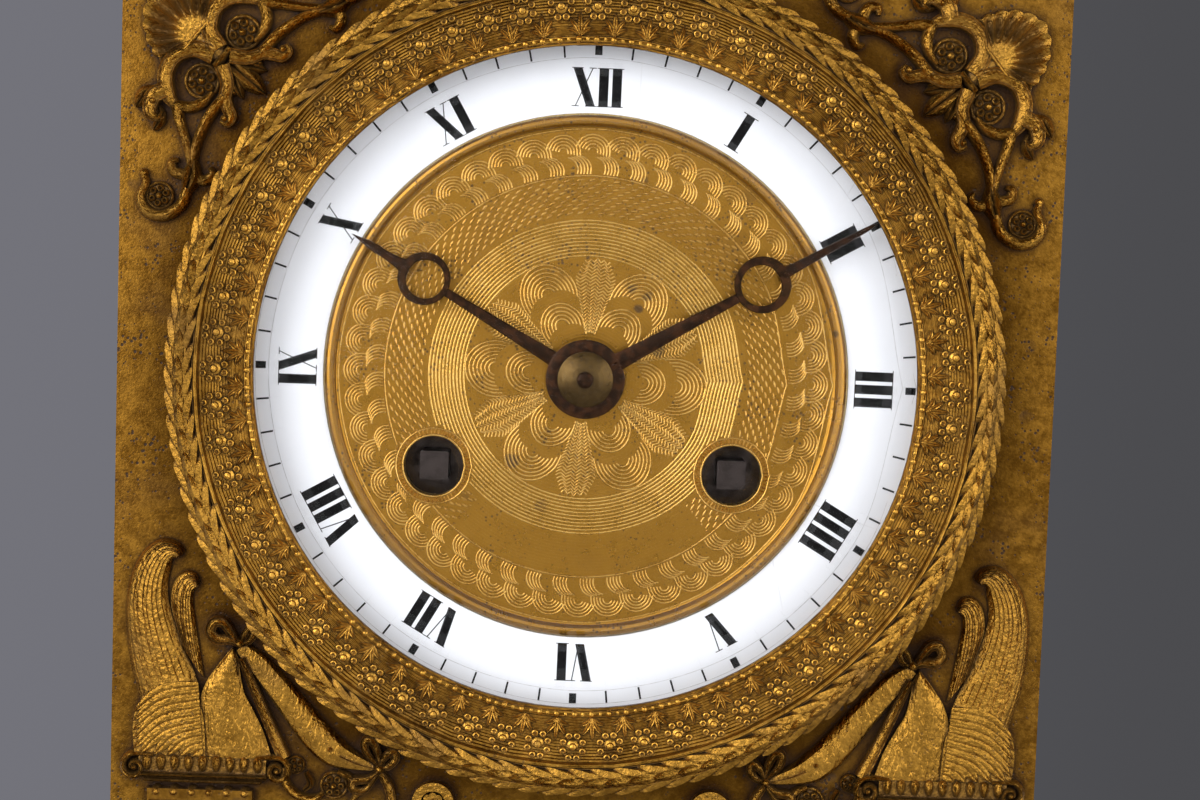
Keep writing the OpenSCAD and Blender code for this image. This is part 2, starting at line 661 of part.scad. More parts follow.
// How far the notch for the fixed knuckle reaches in front of the hinge pin
notch_front = 2.6;
module about_hinge(z0, z1, r)
    translate([hinge_x, front_y - hinge_h, dial_z + z0]) cylinder(h = z1 - z0, r = r);
module bezel_ring() color(gilt) difference() {
    at([0, 0], front_y) rotate_extrude($fn = 120) polygon(bezel_outline());
    about_hinge(-knuckle_reach - 0.5, knuckle_reach + 0.5, hinge_pin_r + fit);
    about_hinge(-knuckle_half - gap, knuckle_half + gap, knuckle_r + gap);
    translate([hinge_x - knuckle_r - gap, front_y - hinge_h, dial_z - knuckle_half - gap])
        cube([2 * knuckle_r + 2 * gap + 2, hinge_h + 1, 2 * (knuckle_half + gap)]);
    translate([hinge_x, front_y - hinge_h - notch_front, dial_z - knuckle_half - gap])
        cube([5, hinge_h + notch_front + 1, 2 * (knuckle_half + gap)]);
    translate([flange_r - 1, front_y - 1.8, dial_z - 24]) cube([10, 2, 48]);
}
glass_r = sight_r + 1.3;
dome_r = sight_r - 0.6;
dome_sphere = (dome_r * dome_r + glass_rise * glass_rise) / (2 * glass_rise);
module bezel_glass() color("aliceblue", 0.4) at([0, 0], front_y - seat_h + glass_t) {
    intersection() {
        translate([0, 0, glass_t + glass_rise - dome_sphere]) difference() {
            sphere(dome_sphere, $fn = 128);
            sphere(dome_sphere - glass_t, $fn = 128);
        }
        cylinder(h = glass_t + glass_rise + 1, r = dome_r);
    }
    linear_extrude(glass_t) ring_2d(glass_r, dome_r - 2.4);
}

// The hands. Their heights are counted in front of the enamel's face
hour_plane = 1.8;
minute_plane = 3.2;
minute_heading = 30;
hour_heading = 150;
hub_r = 6.3;
cannon_r = 2;
hour_pipe_r = 2.9;
module moon_hand_2d(len, ring_r, ring_at, hub, bore, arm_w) difference() {
    union() {
        circle(hub);
        bar_2d([hub - 1, 0], [ring_at - ring_r + 0.4, 0], arm_w, arm_w * 0.6);
        translate([ring_at, 0]) circle(ring_r);
        bar_2d([ring_at + ring_r - 0.5, 0], [len, 0], 2.4, 0.3);
    }
    translate([ring_at + 0.25, 0]) circle(ring_r - 1.35);
    circle(bore);
}
module minute_hand() color(rust) at([0, 0], enamel_y - minute_plane) rotate(minute_heading)
    linear_extrude(hand_t) moon_hand_2d(minute_len, minute_ring_r, 31.7, hub_r, cannon_r, 3.4);
module hour_hand() color(rust) at([0, 0], enamel_y - hour_plane) rotate(hour_heading)
    linear_extrude(hand_t) {
        moon_hand_2d(hour_len, hour_ring_r, 30.1, hub_r - 0.9, hour_pipe_r, 3.4);
        polygon([[hour_len - 5.4, 0], [hour_len - 3.6, -1.1], [hour_len - 1.4, 0], [hour_len - 3.6, 1.1]]);
    }
module hand_collet() color(brass) {
    y = enamel_y - minute_plane - hand_t;
    at([0, 0], y) difference() {
        rotate_extrude() polygon(concat(
            [[0, 0], [4.4, 0], [4.4, 0.4]], arc([0, -6.6], sqrt(4.4 * 4.4 + 49), 58, 80, 4), [[0, 1.6]]
        ));
        translate([0, 0, -1]) cylinder(h = 4, r = arbor_r + 0.02);
    }
}

// Motion work behind the dial
motion_back = plate_front - 1;
post_r = 1;
hour_level = motion_back - 2.9;
module cannon_pinion() color(steel) difference() {
    union() {
        at(centre_at, motion_back) linear_extrude(1.8)
            leaves_2d(cannon_teeth, motion_module, heading(centre_at, minute_at));
        disc(cannon_r, enamel_y - minute_plane - hand_t, motion_back);
    }
    disc(arbor_r + 0.02, enamel_y - 10, motion_back + 1);
}
module minute_wheel() color(brass) difference() {
    union() {
        at(minute_at, motion_back - 0.2) linear_extrude(wheel_t)
            wheel_2d(minute_teeth, motion_module, heading(minute_at, centre_at));
        at(minute_at, motion_back - 0.2 - wheel_t) linear_extrude(2.8)
            leaves_2d(minute_pinion, hour_module, heading(minute_at, centre_at));
    }
    disc(post_r + fit, motion_back - 10, motion_back + 1, minute_at);
}
module hour_wheel() color(brass) difference() {
    union() {
        at(centre_at, hour_level) linear_extrude(1.3)
            wheel_2d(hour_teeth, hour_module, heading(centre_at, minute_at));
        disc(hour_pipe_r, enamel_y - hour_plane - hand_t, hour_level);
    }
    disc(cannon_r + fit, enamel_y - 10, hour_level + 1);
}

// The movement's frame
module pivot_hole(p, r, y) disc(r + fit, y - 1, y + plate_t + 1, p);
train = [mid_at, third_at, escape_at, pin_at, locking_at, fly_at, hammer_at];
journal_r = 3.2;
rear_journal_r = 2;
module front_plate() color(brass) {
    difference() {
        disc(plate_r, plate_front, inner_y, centre_at);
        for (p = train) pivot_hole(p, pivot_r, plate_front);
        pivot_hole(anchor_at, pivot_r, plate_front);
        pivot_hole(centre_at, arbor_r, plate_front);
        for (p = [going_at, strike_at]) pivot_hole(p, journal_r, plate_front);
        for (a = pillar_angles) disc(1.5, plate_front - 1, inner_y + 1, from([0, 0], pillar_ring, a));
    }
    disc(post_r, motion_back - 4.4, plate_front, minute_at);
    for (s = [-1, 1]) disc(1, plate_front - 2.2, plate_front, click_at(s));
}
module back_plate() color(brass) {
    difference() {
        disc(plate_r, inner_back, plate_rear);
        for (p = train) pivot_hole(p, p == pin_at || p == hammer_at ? arbor_r : pivot_r, inner_back);
        pivot_hole(anchor_at, arbor_r, inner_back);
        pivot_hole(centre_at, pivot_r, inner_back);
        for (p = [going_at, strike_at]) pivot_hole(p, rear_journal_r, inner_back);
    }
    disc(post_r, plate_rear, count_y + 2, count_at);
}
module plate_pillars() color(brass) for (a = pillar_angles) {
    p = from([0, 0], pillar_ring, a);
    disc(3, inner_y, inner_back, p);
    disc(1.45, plate_front - 2.6, inner_y + 0.1, p);
    at(p, plate_front) cylinder(h = 2, r = 2.6, $fn = 6);
}
strap_front = plate_front - 4.3;
strap_len = back_y - back_t - strap_front;
strap_in = back_hole_r + 0.6;
strap_w = 8;
strap_t = 1.2;
strap_foot_t = 2.4;
foot_reach = 6.4;
rear_screw_r = 1.5;
module case_straps() color(brass) for (a = strap_angles) rotate_strap(a) difference() {
    union() {
        translate([strap_in, -strap_w / 2, 0]) cube([foot_reach, strap_w, strap_foot_t]);
        translate([strap_in, -strap_w / 2, 0]) cube([strap_t, strap_w, strap_len]);
        translate([strap_in, -strap_w / 2, strap_len - 4]) cube([foot_reach, strap_w, 4]);
    }
    translate([front_screw_ring, 0, -1]) cylinder(h = 5, r = front_screw_r);
    translate([strap_screw_ring, 0, strap_len - 5]) cylinder(h = 6, r = rear_screw_r);
}
// Frame of a strap: x out from the middle, z to the back from the strap's front end
module rotate_strap(a) translate([0, strap_front, dial_z]) rotate([0, -a, 0]) rotate([-90, 0, 0]) children();
module strap_screws() color(steel) for (a = strap_angles) rotate_strap(a) {
    head = back_y + ring_t - strap_front;
    translate([front_screw_ring, 0, -1.8]) cylinder(h = strap_foot_t + 1.8, r = front_screw_r);
    translate([front_screw_ring, 0, strap_foot_t]) cylinder(h = 1.6, r = 1.9);
    translate([strap_screw_ring, 0, strap_len - 4]) cylinder(h = head - strap_len + 4, r = rear_screw_r);
    translate([strap_screw_ring, 0, head]) difference() {
        cylinder(h = 1.6, r = 2.4);
        translate([-3, -0.35, 1]) cube([6, 0.7, 1]);
    }
}

// The going train
module centre_wheel() color(brass) {
    level(centre_at, centre_level, wheel_t)
        crossed_wheel_2d(centre_teeth, centre_module, heading(centre_at, third_at), 5);
    level(centre_at, rear_level - 0.6, wheel_t + 1.2)
        leaves_2d(centre_pinion, mid_module, heading(centre_at, mid_at));
    shake = 0.25;
    disc(arbor_r * 1.4, inner_y + shake, inner_back - shake);
    disc(arbor_r, enamel_y - minute_plane - hand_t - 2.2, inner_y + 1);
    disc(pivot_r, inner_back - 1, plate_rear - 0.2);
}
module intermediate_wheel() color(brass) {
    level(mid_at, rear_level, wheel_t)
        crossed_wheel_2d(mid_teeth, mid_module, heading(mid_at, centre_at));
    level(mid_at, great_level - 0.4, tooth_t + 0.8)
        leaves_2d(great_pinion, barrel_module, heading(mid_at, going_at));
    arbor(mid_at);
}
module third_wheel() color(brass) {
    level(third_at, third_level, 1.2)
        crossed_wheel_2d(third_teeth, third_module, heading(third_at, escape_at));
    level(third_at, centre_level - 0.4, wheel_t + 0.8)
        leaves_2d(third_pinion, centre_module, heading(third_at, centre_at));
    arbor(third_at);
}
// Escape teeth are upright on one side and slope away on the other
escape_tooth = [[0, 0], [0.1, 0], [0.5, -1.5], [0.93, -1.5]];
module escape_wheel() color(brass) {
    level(escape_at, escape_level, 1) difference() {
        polygon([
            for (i = [0:escape_teeth - 1], f = escape_tooth)
                from([0, 0], escape_r + f[1], 90 + 360 / escape_teeth * (i + f[0]))
        ]);
        windows_2d(escape_r - 2.7, 2, 4, 1.1);
    }
    level(escape_at, third_level - 0.6, 2.4)
        leaves_2d(escape_pinion, third_module, heading(escape_at, third_at));
    arbor(escape_at, arbor_r * 0.75);
}
pallet_spread = 38.25;
// The pallets' tips stay outside the wheel through the whole swing
pallet_clear = 0.55;
crutch_len = 27;
crutch_y = plate_rear + 3.6;
module anchor() color(steel) {
    up = anchor_at;
    level([0, 0], escape_level - 0.6, 2.2) for (s = [-1, 1]) {
        nib = from(escape_at, escape_r + pallet_clear, 90 - s * pallet_spread);
        elbow = nib + [s * 0.9, 3.4];
        bar_2d(up, elbow + [s * 0.5, 0], 2.4, 1.8);
        bar_2d(elbow, nib, 1.6, 0.3);
        translate(up) circle(2.2);
    }
    disc(arbor_r, inner_y + 0.25, crutch_y + 0.4, up);
    disc(pivot_r, plate_front + 0.2, inner_y + 1, up);
    at(up, crutch_y) linear_extrude(1.2) {
        circle(2.2);
        translate([-0.8, -crutch_len]) square([1.6, crutch_len]);
        translate([-fork_half - 1, -crutch_len - 2]) square([2 * fork_half + 2, 2.2]);
    }
    for (s = [-1, 1]) at(up, pendulum_y + 2.2) translate([s * (fork_half + 0.5) - 0.5, -crutch_len - 2, 0])
        cube([1, 2, pendulum_y + 2.2 - crutch_y + 0.6]);
}
rod_pendulum_r = 0.9;
fork_half = rod_pendulum_r + gap;
peg_r = 0.9;
pendulum_y = plate_rear + 8.5;
bob_t = 9;
module pendulum() color(brass) {
    axis = anchor_at;
    eye = peg_r + fit;
    at(axis, pendulum_y + 0.9) linear_extrude(1.8) ring_2d(eye + 1.1, eye);
    translate([axis[0], pendulum_y, dial_z + axis[1] - pendulum_len - bob_r - 6])
        cylinder(h = pendulum_len + bob_r + 6 - eye - 0.5, r = rod_pendulum_r, $fn = 32);
    lens = (bob_r * bob_r + bob_t * bob_t / 4) / bob_t;
    translate([axis[0], pendulum_y, dial_z + axis[1] - pendulum_len]) {
        intersection() {
            translate([0, lens - bob_t / 2, 0]) sphere(lens, $fn = 128);
            translate([0, bob_t / 2 - lens, 0]) sphere(lens, $fn = 128);
            rotate([90, 0, 0]) cylinder(h = bob_t + 2, r = bob_r - 0.4, center = true);
        }
        translate([0, 0, -bob_r - 3.4]) cylinder(h = 3.6, r = 3.2);
    }
}
module pendulum_cock() color(brass) {
    y = pendulum_y + 2.4;
    half = 11;
    at(anchor_at, y + 2) linear_extrude(2) translate([-half, -5]) square([2 * half, 10]);
    for (s = [-1, 1]) at(anchor_at, y + 0.1) linear_extrude(y + 0.1 - plate_rear)
        translate([s > 0 ? half - 3 : -half, -5]) square([3, 8.2]);
    disc(peg_r, pendulum_y - 1.8, y + 1, anchor_at);
}

// Spring barrels, with their springs and winding arbors
core_r = 3.2;
drum_wall = 1.2;
module barrel(p, toward) color(brass) {
    level(p, great_level, tooth_t) difference() {
        wheel_2d(barrel_teeth, barrel_module, toward);
        circle(core_r + fit);
    }
    level(p, drum_level + 1.2, drum_len - 1.2 + 0.1) ring_2d(drum_r, drum_r - drum_wall);
    level(p, drum_level, 1.2) ring_2d(drum_r, core_r + fit);
}
module going_barrel() barrel(going_at, heading(going_at, mid_at));
module strike_barrel() barrel(strike_at, heading(strike_at, pin_at));
spring_turns = 6;
spring_t = 0.6;
module mainspring(p) color(steel) {
    inner = core_r + gap;
    outer = drum_r - drum_wall - gap - spring_t;
    steps = spring_turns * 20;
    level(p, drum_level + 1.2 + gap, drum_len - 1.2 - 2 * gap) polygon(concat(
        [for (i = [0:steps]) from([0, 0], inner + (outer - inner) * i / steps, 18 * i)],
        [for (i = [steps:-1:0]) from([0, 0], inner + spring_t + (outer - inner) * i / steps, 18 * i)]
    ));
}
module going_mainspring() mainspring(going_at);
module strike_mainspring() mainspring(strike_at);
ratchet_r = 7;
ratchet_teeth = 20;
ratchet_t = 1.6;
module winding_arbor(p, s) color(steel) {
    disc(core_r, inner_y + 0.25, inner_back - 0.25, p);
    disc(journal_r, plate_front - 0.3, inner_y + 1, p);
    disc(rear_journal_r, inner_back - 1, plate_rear - 0.2, p);
    at(p, plate_front - gap) linear_extrude(ratchet_t) polygon([
        for (i = [0:ratchet_teeth - 1], f = [[0, 0], [0.9, -1.1]])
            from([0, 0], ratchet_r + f[1], 90 - s * 90 + s * 360 / ratchet_teeth * (i + f[0]))
    ]);
    at(p, plate_front - gap) linear_extrude(plate_front - gap - dial_plate_y + 0.4) intersection() {
        square(square_w, center = true);
        circle(journal_r - 0.1);
    }
}
module going_arbor() winding_arbor(going_at, 1);
module strike_arbor() winding_arbor(strike_at, -1);
// Each click stands outside its ratchet, towards the side of the plate
function click_at(s) = from([s * wind_x, -wind_drop], ratchet_r + 4.5, s > 0 ? 60 : 120);
module click(s) color(steel) difference() {
    p = click_at(s);
    c = [s * wind_x, -wind_drop];
    at(p, plate_front - gap) linear_extrude(1.5) {
        circle(1.9);
        bar_2d([0, 0], from(c, ratchet_r + gap + 0.3, s > 0 ? 20 : 160) - p, 3, 0.6);
    }
    disc(1 + fit, plate_front - 5, plate_front + 1, p);
}
module going_click() click(1);
module strike_click() click(-1);

// The striking train
pin_ring = 11.5;
pin_count = 10;
module pin_wheel() color(brass) {
    level(pin_at, rear_level, wheel_t)
        crossed_wheel_2d(pin_teeth, pin_module, heading(pin_at, locking_at));
    for (i = [0:pin_count - 1])
        level(from(pin_at, pin_ring, 18 + 36 * i), rear_level + wheel_t - 0.1, 1.9) circle(0.5, $fn = 16);
    level(pin_at, great_level - 0.4, tooth_t + 0.8)
        leaves_2d(great_pinion, barrel_module, heading(pin_at, strike_at));
    arbor(pin_at);
    disc(arbor_r, inner_back - 1, count_y + 1, pin_at);
    at(pin_at, count_y + 0.6) linear_extrude(2.2)
        leaves_2d(count_pinion, count_module, heading(pin_at, count_at));
}
module locking_wheel() color(brass) {
    level(locking_at, locking_level, 1.2)
        crossed_wheel_2d(locking_teeth, locking_module, heading(locking_at, fly_at), 4, 2.4, 1.2);
    level(locking_at, rear_level - 0.4, wheel_t + 0.8)
        leaves_2d(locking_pinion, pin_module, heading(locking_at, pin_at));
    arbor(locking_at);
}
vane_reach = 6.8;
module fly() color(brass) {
    level(fly_at, locking_level - 0.8, 2.8)
        leaves_2d(fly_pinion, locking_module, heading(fly_at, locking_at));
    level(fly_at, vane_level, vane_len) {
        rotate(30) square([2 * vane_reach, 0.6], center = true);
        circle(1.6);
    }
    arbor(fly_at);
}
count_rim = count_module * (count_teeth / 2 + 0.8);
// Notches in the count wheel's rim, one after each hour's blows and the half hour's single blow
function blows_before(h) = h == 0 ? 0 : blows_before(h - 1) + h + 1;
all_blows = blows_before(12);
module count_wheel() color(brass) difference() {
    at(count_at, count_y) linear_extrude(1.2)
        wheel_2d(count_teeth, count_module, heading(count_at, pin_at));
    disc(post_r + fit, count_y - 5, count_y + 1, count_at);
    at(count_at, count_y + 0.1) linear_extrude(1.4) {
        for (h = [1:12]) rotate(360 * blows_before(h) / all_blows)
            translate([count_rim - 4.4, 0]) square([1.2, 0.8], center = true);
        for (i = [0:3]) rotate(90 * i + 45) translate([6, 0]) circle(2.4, $fn = 24);
    }
}
bell_mouth_y = pendulum_y + 6.6;
bell_wall = 1.6;
stand_r = 1.5;
hammer_head = [bell_at[0] - bell_r - 5, bell_at[1]];
module hammer() color(steel) {
    disc(arbor_r, inner_y + 0.25, hammer_y + 0.8, hammer_at);
    disc(pivot_r, plate_front + 0.2, inner_y + 1, hammer_at);
    level([0, 0], rear_level + wheel_t + 0.2, 1.6)
        bar_2d(hammer_at, hammer_at + [hammer_off - pin_ring - 0.8, 0], 2, 1);
    at([0, 0], hammer_y + 0.6) linear_extrude(1.2) bar_2d(hammer_at, hammer_head, 2, 1.2);
    translate([hammer_head[0], hammer_y, dial_z + hammer_head[1]]) rotate([0, 90, 0])
        cylinder(h = 8, r = 2.4, center = true);
}
hammer_y = bell_mouth_y + 1.4;
module bell() color(steel) difference() {
    outer = (bell_r * bell_r + bell_depth * bell_depth) / (2 * bell_depth);
    translate([bell_at[0], bell_mouth_y + bell_depth - outer, dial_z + bell_at[1]]) difference() {
        sphere(outer, $fn = 96);
        sphere(outer - bell_wall, $fn = 96);
    }
    disc(2 * outer, bell_mouth_y - 2 * outer - 20, bell_mouth_y, bell_at);
    disc(stand_r + 0.05, bell_mouth_y, bell_mouth_y + bell_depth + 2, bell_at);
}
module bell_stand() color(brass) {
    disc(4, plate_rear, plate_rear + 2, bell_at);
    disc(2.4, plate_rear + 1, bell_mouth_y + bell_depth - bell_wall - gap, bell_at);
    disc(stand_r, plate_rear + 1, bell_mouth_y + bell_depth + 4, bell_at);
    at(bell_at, bell_mouth_y + bell_depth + 2.5) cylinder(h = 2.5, r = 3.2, $fn = 6);
}

// The back door
ring_t = 2;
door_r = back_hole_r + 1.6;
door_t = 1.4;
door_hinge_x = back_hole_r + 4;
door_hinge_y = back_y + ring_t + 1.8;
door_knuckle_r = 1.5;
module about_door_hinge(z0, z1, r)
    translate([door_hinge_x, door_hinge_y, dial_z + z0]) cylinder(h = z1 - z0, r = r);
module back_ring() color(gilt) difference() {
    union() {
        disc(back_hole_r + 8, back_y, back_y + ring_t);
        disc(back_hole_r - gap, back_y - back_t, back_y + 0.1);
        translate([door_hinge_x - 1, back_y + ring_t - 0.2, dial_z - knuckle_half])
            cube([2, 1.8, 2 * knuckle_half]);
        about_door_hinge(-knuckle_half, knuckle_half, door_knuckle_r);
        about_door_hinge(-knuckle_reach, knuckle_reach, hinge_pin_r);
    }
    disc(back_hole_r - gap - 1.4, back_y - back_t - 1, back_y + ring_t + 1);
    at([0, 0], back_y + ring_t + 1) at_strap_screws(strap_screw_ring) cylinder(h = ring_t + 2, r = 1.6);
}
latch_at = [3 - plate_r, 0];
latch_r = 1.5;
module back_door() color(gilt) difference() {
    y0 = back_y + ring_t + gap;
    union() {
        disc(door_r, y0, y0 + door_t);
        at([0, 0], y0 + door_t + 0.8) linear_extrude(0.9) ring_2d(door_r, door_r - 4);
        for (s = [-1, 1]) {
            z0 = s > 0 ? knuckle_half + gap : -knuckle_reach;
            z1 = s > 0 ? knuckle_reach : -knuckle_half - gap;
            about_door_hinge(z0, z1, door_knuckle_r);
            translate([door_r - 3, y0, dial_z + z0]) cube([door_hinge_x - door_r + 3, door_t, z1 - z0]);
        }
    }
    about_door_hinge(-knuckle_reach - 1, knuckle_reach + 1, hinge_pin_r + fit);
    about_door_hinge(-knuckle_half - gap, knuckle_half + gap, door_knuckle_r + gap);
    translate([door_hinge_x - door_knuckle_r - gap, y0 - 1, dial_z - knuckle_half - gap])
        cube([6, 4, 2 * (knuckle_half + gap)]);
    for (n = [0:2], i = [0:11])
        disc(1.4 + 0.4 * n, y0 - 1, y0 + door_t + 1, from([0, 0], 9 + 9 * n, 30 * i + 15 * n));
    disc(latch_r + fit, y0 - 1, y0 + door_t + 2, latch_at);
}
module door_latch() color(steel) {
    y0 = back_y - back_t - gap;
    disc(latch_r, y0 - 1.2, back_y + ring_t + gap + door_t + 2, latch_at);
    at(latch_at, y0) linear_extrude(1.2) translate([-1.5, -1.5]) square([3, 10]);
    at(latch_at, back_y + ring_t + 5.6) cylinder(h = 1.6, r = latch_r);
    at(latch_at, back_y + ring_t + 6) linear_extrude(2.6) translate([-1, -5]) square([2, 10]);
}

feet();
base_plinth();
base_mount();
front_panel();
left_side();
right_side();
side_wreaths();
back_panel();
cornice();
attic();
urn();
tie_rods();
upper_left_mount();
upper_right_mount();
left_swan();
right_swan();
pilasters();
lower_centre_mount();
dial_flange();
dial_plate();
enamel_ring();
gilt_centre();
front_plate();
back_plate();
plate_pillars();
case_straps();
strap_screws();
pendulum_cock();
bell();
bell_stand();
back_ring();
bezel_ring();
bezel_glass();
back_door();
door_latch();
centre_wheel();
cannon_pinion();
minute_hand();
hand_collet();
hour_wheel();
hour_hand();
minute_wheel();
intermediate_wheel();
going_barrel();
going_mainspring();
going_arbor();
going_click();
third_wheel();
escape_wheel();
anchor();
pendulum();
strike_barrel();
strike_mainspring();
strike_arbor();
strike_click();
pin_wheel();
locking_wheel();
fly();
count_wheel();
hammer();
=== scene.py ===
"""Finish and ornament for a gilt bronze mantel clock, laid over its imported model."""

import math

import bmesh
import bpy
from bpy.props import FloatProperty, FloatVectorProperty, IntProperty, PointerProperty
from mathutils import Matrix, Vector


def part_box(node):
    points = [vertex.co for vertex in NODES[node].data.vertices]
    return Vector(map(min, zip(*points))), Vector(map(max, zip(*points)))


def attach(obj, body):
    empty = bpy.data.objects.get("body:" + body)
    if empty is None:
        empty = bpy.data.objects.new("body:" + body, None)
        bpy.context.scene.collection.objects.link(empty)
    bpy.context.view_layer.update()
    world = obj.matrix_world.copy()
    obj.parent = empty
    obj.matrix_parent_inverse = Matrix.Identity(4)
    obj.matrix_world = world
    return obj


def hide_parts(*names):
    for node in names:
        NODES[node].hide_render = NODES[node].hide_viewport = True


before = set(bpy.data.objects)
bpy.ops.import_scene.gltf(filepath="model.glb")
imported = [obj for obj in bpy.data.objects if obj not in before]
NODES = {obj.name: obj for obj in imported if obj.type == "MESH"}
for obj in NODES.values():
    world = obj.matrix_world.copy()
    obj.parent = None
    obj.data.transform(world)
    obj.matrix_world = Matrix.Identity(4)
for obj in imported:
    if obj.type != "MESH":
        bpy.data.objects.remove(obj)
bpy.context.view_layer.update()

bl_info = {
    "name": "Gilt Mantel Clock Finish",
    "version": (1, 0, 0),
    "blender": (4, 5, 0),
    "location": "3D View > Sidebar > Clock",
    "description": "Ornament, dial figures, materials and stage for a gilt mantel clock",
    "category": "Object",
}

MM = 0.001

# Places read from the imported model, in millimetres
BEZEL_LOW, BEZEL_HIGH = (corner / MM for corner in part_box("bezel_ring"))
PANEL_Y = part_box("front_panel")[0].y / MM
DIAL_Z = (BEZEL_LOW.z + BEZEL_HIGH.z) / 2
BEZEL_R = (BEZEL_HIGH.z - BEZEL_LOW.z) / 2
BEZEL_H = PANEL_Y - BEZEL_LOW.y
ENAMEL_FACE = PANEL_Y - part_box("enamel_ring")[0].y / MM
CENTRE_FACE = PANEL_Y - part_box("enamel_ring")[1].y / MM + 1.2
WIND_X = (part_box("going_arbor")[0].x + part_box("going_arbor")[1].x) / 2 / MM
WIND_UP = (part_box("going_arbor")[0].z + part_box("going_arbor")[1].z) / 2 / MM - DIAL_Z


# Settings

COLOUR = {"size": 4, "min": 0, "max": 1}


class FinishSettings(bpy.types.PropertyGroup):
    """Colours of the clock's metals and dial."""

    # Paler than the dial gilding between the lines, as a painted highlight on the engine-turned lines
    pale_gold: FloatVectorProperty(
        name="Cut gilding highlight", description="Colour of the engine-turned lines",
        default=(0.7, 0.44, 0.13, 1), subtype="COLOR", **COLOUR)
    bright_gold: FloatVectorProperty(
        name="Burnished gilding", description="Colour of the gilding on high places",
        default=(0.62, 0.33, 0.055, 1), subtype="COLOR", **COLOUR)
    dull_gold: FloatVectorProperty(
        name="Matte gilding", description="Colour of the matted gilding",
        default=(0.29, 0.14, 0.018, 1), subtype="COLOR", **COLOUR)
    dial_gold: FloatVectorProperty(
        name="Dial gilding", description="Colour of the gilt centre between its cut lines",
        default=(0.34, 0.172, 0.026, 1), subtype="COLOR", **COLOUR)
    panel_gold: FloatVectorProperty(
        name="Panel gilding", description="Colour of the darker gilding of the flat panels",
        default=(0.12, 0.052, 0.006, 1), subtype="COLOR", **COLOUR)
    # Also the colour of the painted shade in the gilding's hollows, and of its pits and stains
    dirt_and_shade: FloatVectorProperty(
        name="Dirt and Shade", description="Colour of the dirt in the hollows",
        default=(0.022, 0.009, 0.003, 1), subtype="COLOR", **COLOUR)
    shade: FloatVectorProperty(
        name="Shade", description="Colour of the panel in the shade of what stands off it",
        default=(0.03, 0.011, 0.0012, 1), subtype="COLOR", **COLOUR)
    enamel: FloatVectorProperty(
        name="Enamel", description="Colour of the enamel ring",
        default=(0.84, 0.87, 0.93, 1), subtype="COLOR", **COLOUR)
    hand_steel: FloatVectorProperty(
        name="Hands", description="Colour of the browned steel hands",
        default=(0.018, 0.008, 0.0035, 1), subtype="COLOR", **COLOUR)
    brass: FloatVectorProperty(
        name="Brass", description="Colour of the movement's brass",
        default=(0.74, 0.55, 0.24, 1), subtype="COLOR", **COLOUR)


class BezelSettings(bpy.types.PropertyGroup):
    """Counts and sizes of the bezel's chasing."""

    leaf_count: IntProperty(
        name="Leaves", description="Leaves in one row round the outer moulding",
        default=104, min=12, max=200)
    rosette_count: IntProperty(
        name="Rosettes", description="Rosettes round the hollow band", default=64, min=12, max=120)
    bead_count: IntProperty(
        name="Beads", description="Pairs of beads round the sight edge", default=120, min=24, max=240)
    leaf_rise: FloatProperty(
        name="Leaf rise", description="How far a leaf stands off the moulding",
        default=0.85 * MM, min=0.05 * MM, max=1 * MM, unit="LENGTH")


class DialSettings(bpy.types.PropertyGroup):
    """Places of the dial's figures and of the engine turning."""

    figure_inner: FloatProperty(
        name="Figures' foot", description="Radius of the foot of the figures",
        default=43.25 * MM, unit="LENGTH")
    figure_outer: FloatProperty(
        name="Figures' head", description="Radius of the head of the figures",
        default=49.25 * MM, unit="LENGTH")
    track_inner: FloatProperty(
        name="Minute track", description="Inner radius of the minute strokes",
        default=51.0 * MM, unit="LENGTH")
    track_outer: FloatProperty(
        name="Minute track's edge", description="Outer radius of the minute strokes",
        default=53.0 * MM, unit="LENGTH")
    dial_turn: FloatProperty(
        name="Turn", description="How far the dial is turned on its feet",
        default=math.radians(0.45), subtype="ANGLE")
    scallops: IntProperty(
        name="Scallops", description="Groups of arcs round the outer turned band",
        default=48, min=12, max=90)
    petals: IntProperty(
        name="Petals", description="Petals of the turned flower", default=6, min=4, max=16)


class StageSettings(bpy.types.PropertyGroup):
    """Floor, background and light."""

    floor: FloatVectorProperty(
        name="Floor", description="Colour of the floor near the clock",
        default=(0.62, 0.62, 0.63, 1), subtype="COLOR", **COLOUR)
    backdrop_left: FloatVectorProperty(
        name="Background left", description="Background to the left of the dial",
        default=(0.171, 0.171, 0.195, 1), subtype="COLOR", **COLOUR)
    backdrop_right: FloatVectorProperty(
        name="Background right", description="Background to the right of the dial",
        default=(0.071, 0.071, 0.077, 1), subtype="COLOR", **COLOUR)
    key_power: FloatProperty(
        name="Key light", description="Power of the light from the upper left",
        default=13, min=0, unit="POWER")


def settings(group):
    """One of this file's groups of settings."""
    return getattr(bpy.context.scene, "clock_" + group)


# Relief meshes

# Cross-sections of a strip: place across from -1 to 1, and share of the full height
ROUND = ((-1, -0.1), (-0.95, 0.35), (-0.62, 0.8), (0, 1), (0.62, 0.8), (0.95, 0.35), (1, -0.1))
LEAF = ((-1, -0.1), (-0.9, 0.5), (-0.45, 1), (-0.1, 0.75), (0, 0.5), (0.1, 0.75), (0.45, 1),
        (0.9, 0.5), (1, -0.1))
RIBBON = ((-1, -0.1), (-0.94, 0.9), (-0.7, 0.72), (0, 1), (0.7, 0.72), (0.94, 0.9), (1, -0.1))
RIDGE = ((-1, -0.4), (-1, -0.05), (0, 1), (1, -0.05), (1, -0.4))
FLAT = ((-1, -0.1), (-0.96, 0.5), (-0.72, 0.84), (0, 1), (0.72, 0.84), (0.96, 0.5), (1, -0.1))
CUT = ((-1, -0.4), (-1, 0), (-0.5, 0.78), (0, 1), (0.5, 0.78), (1, 0), (1, -0.4))
SLAB = ((-1, -0.5), (-1, 1), (1, 1), (1, -0.5))


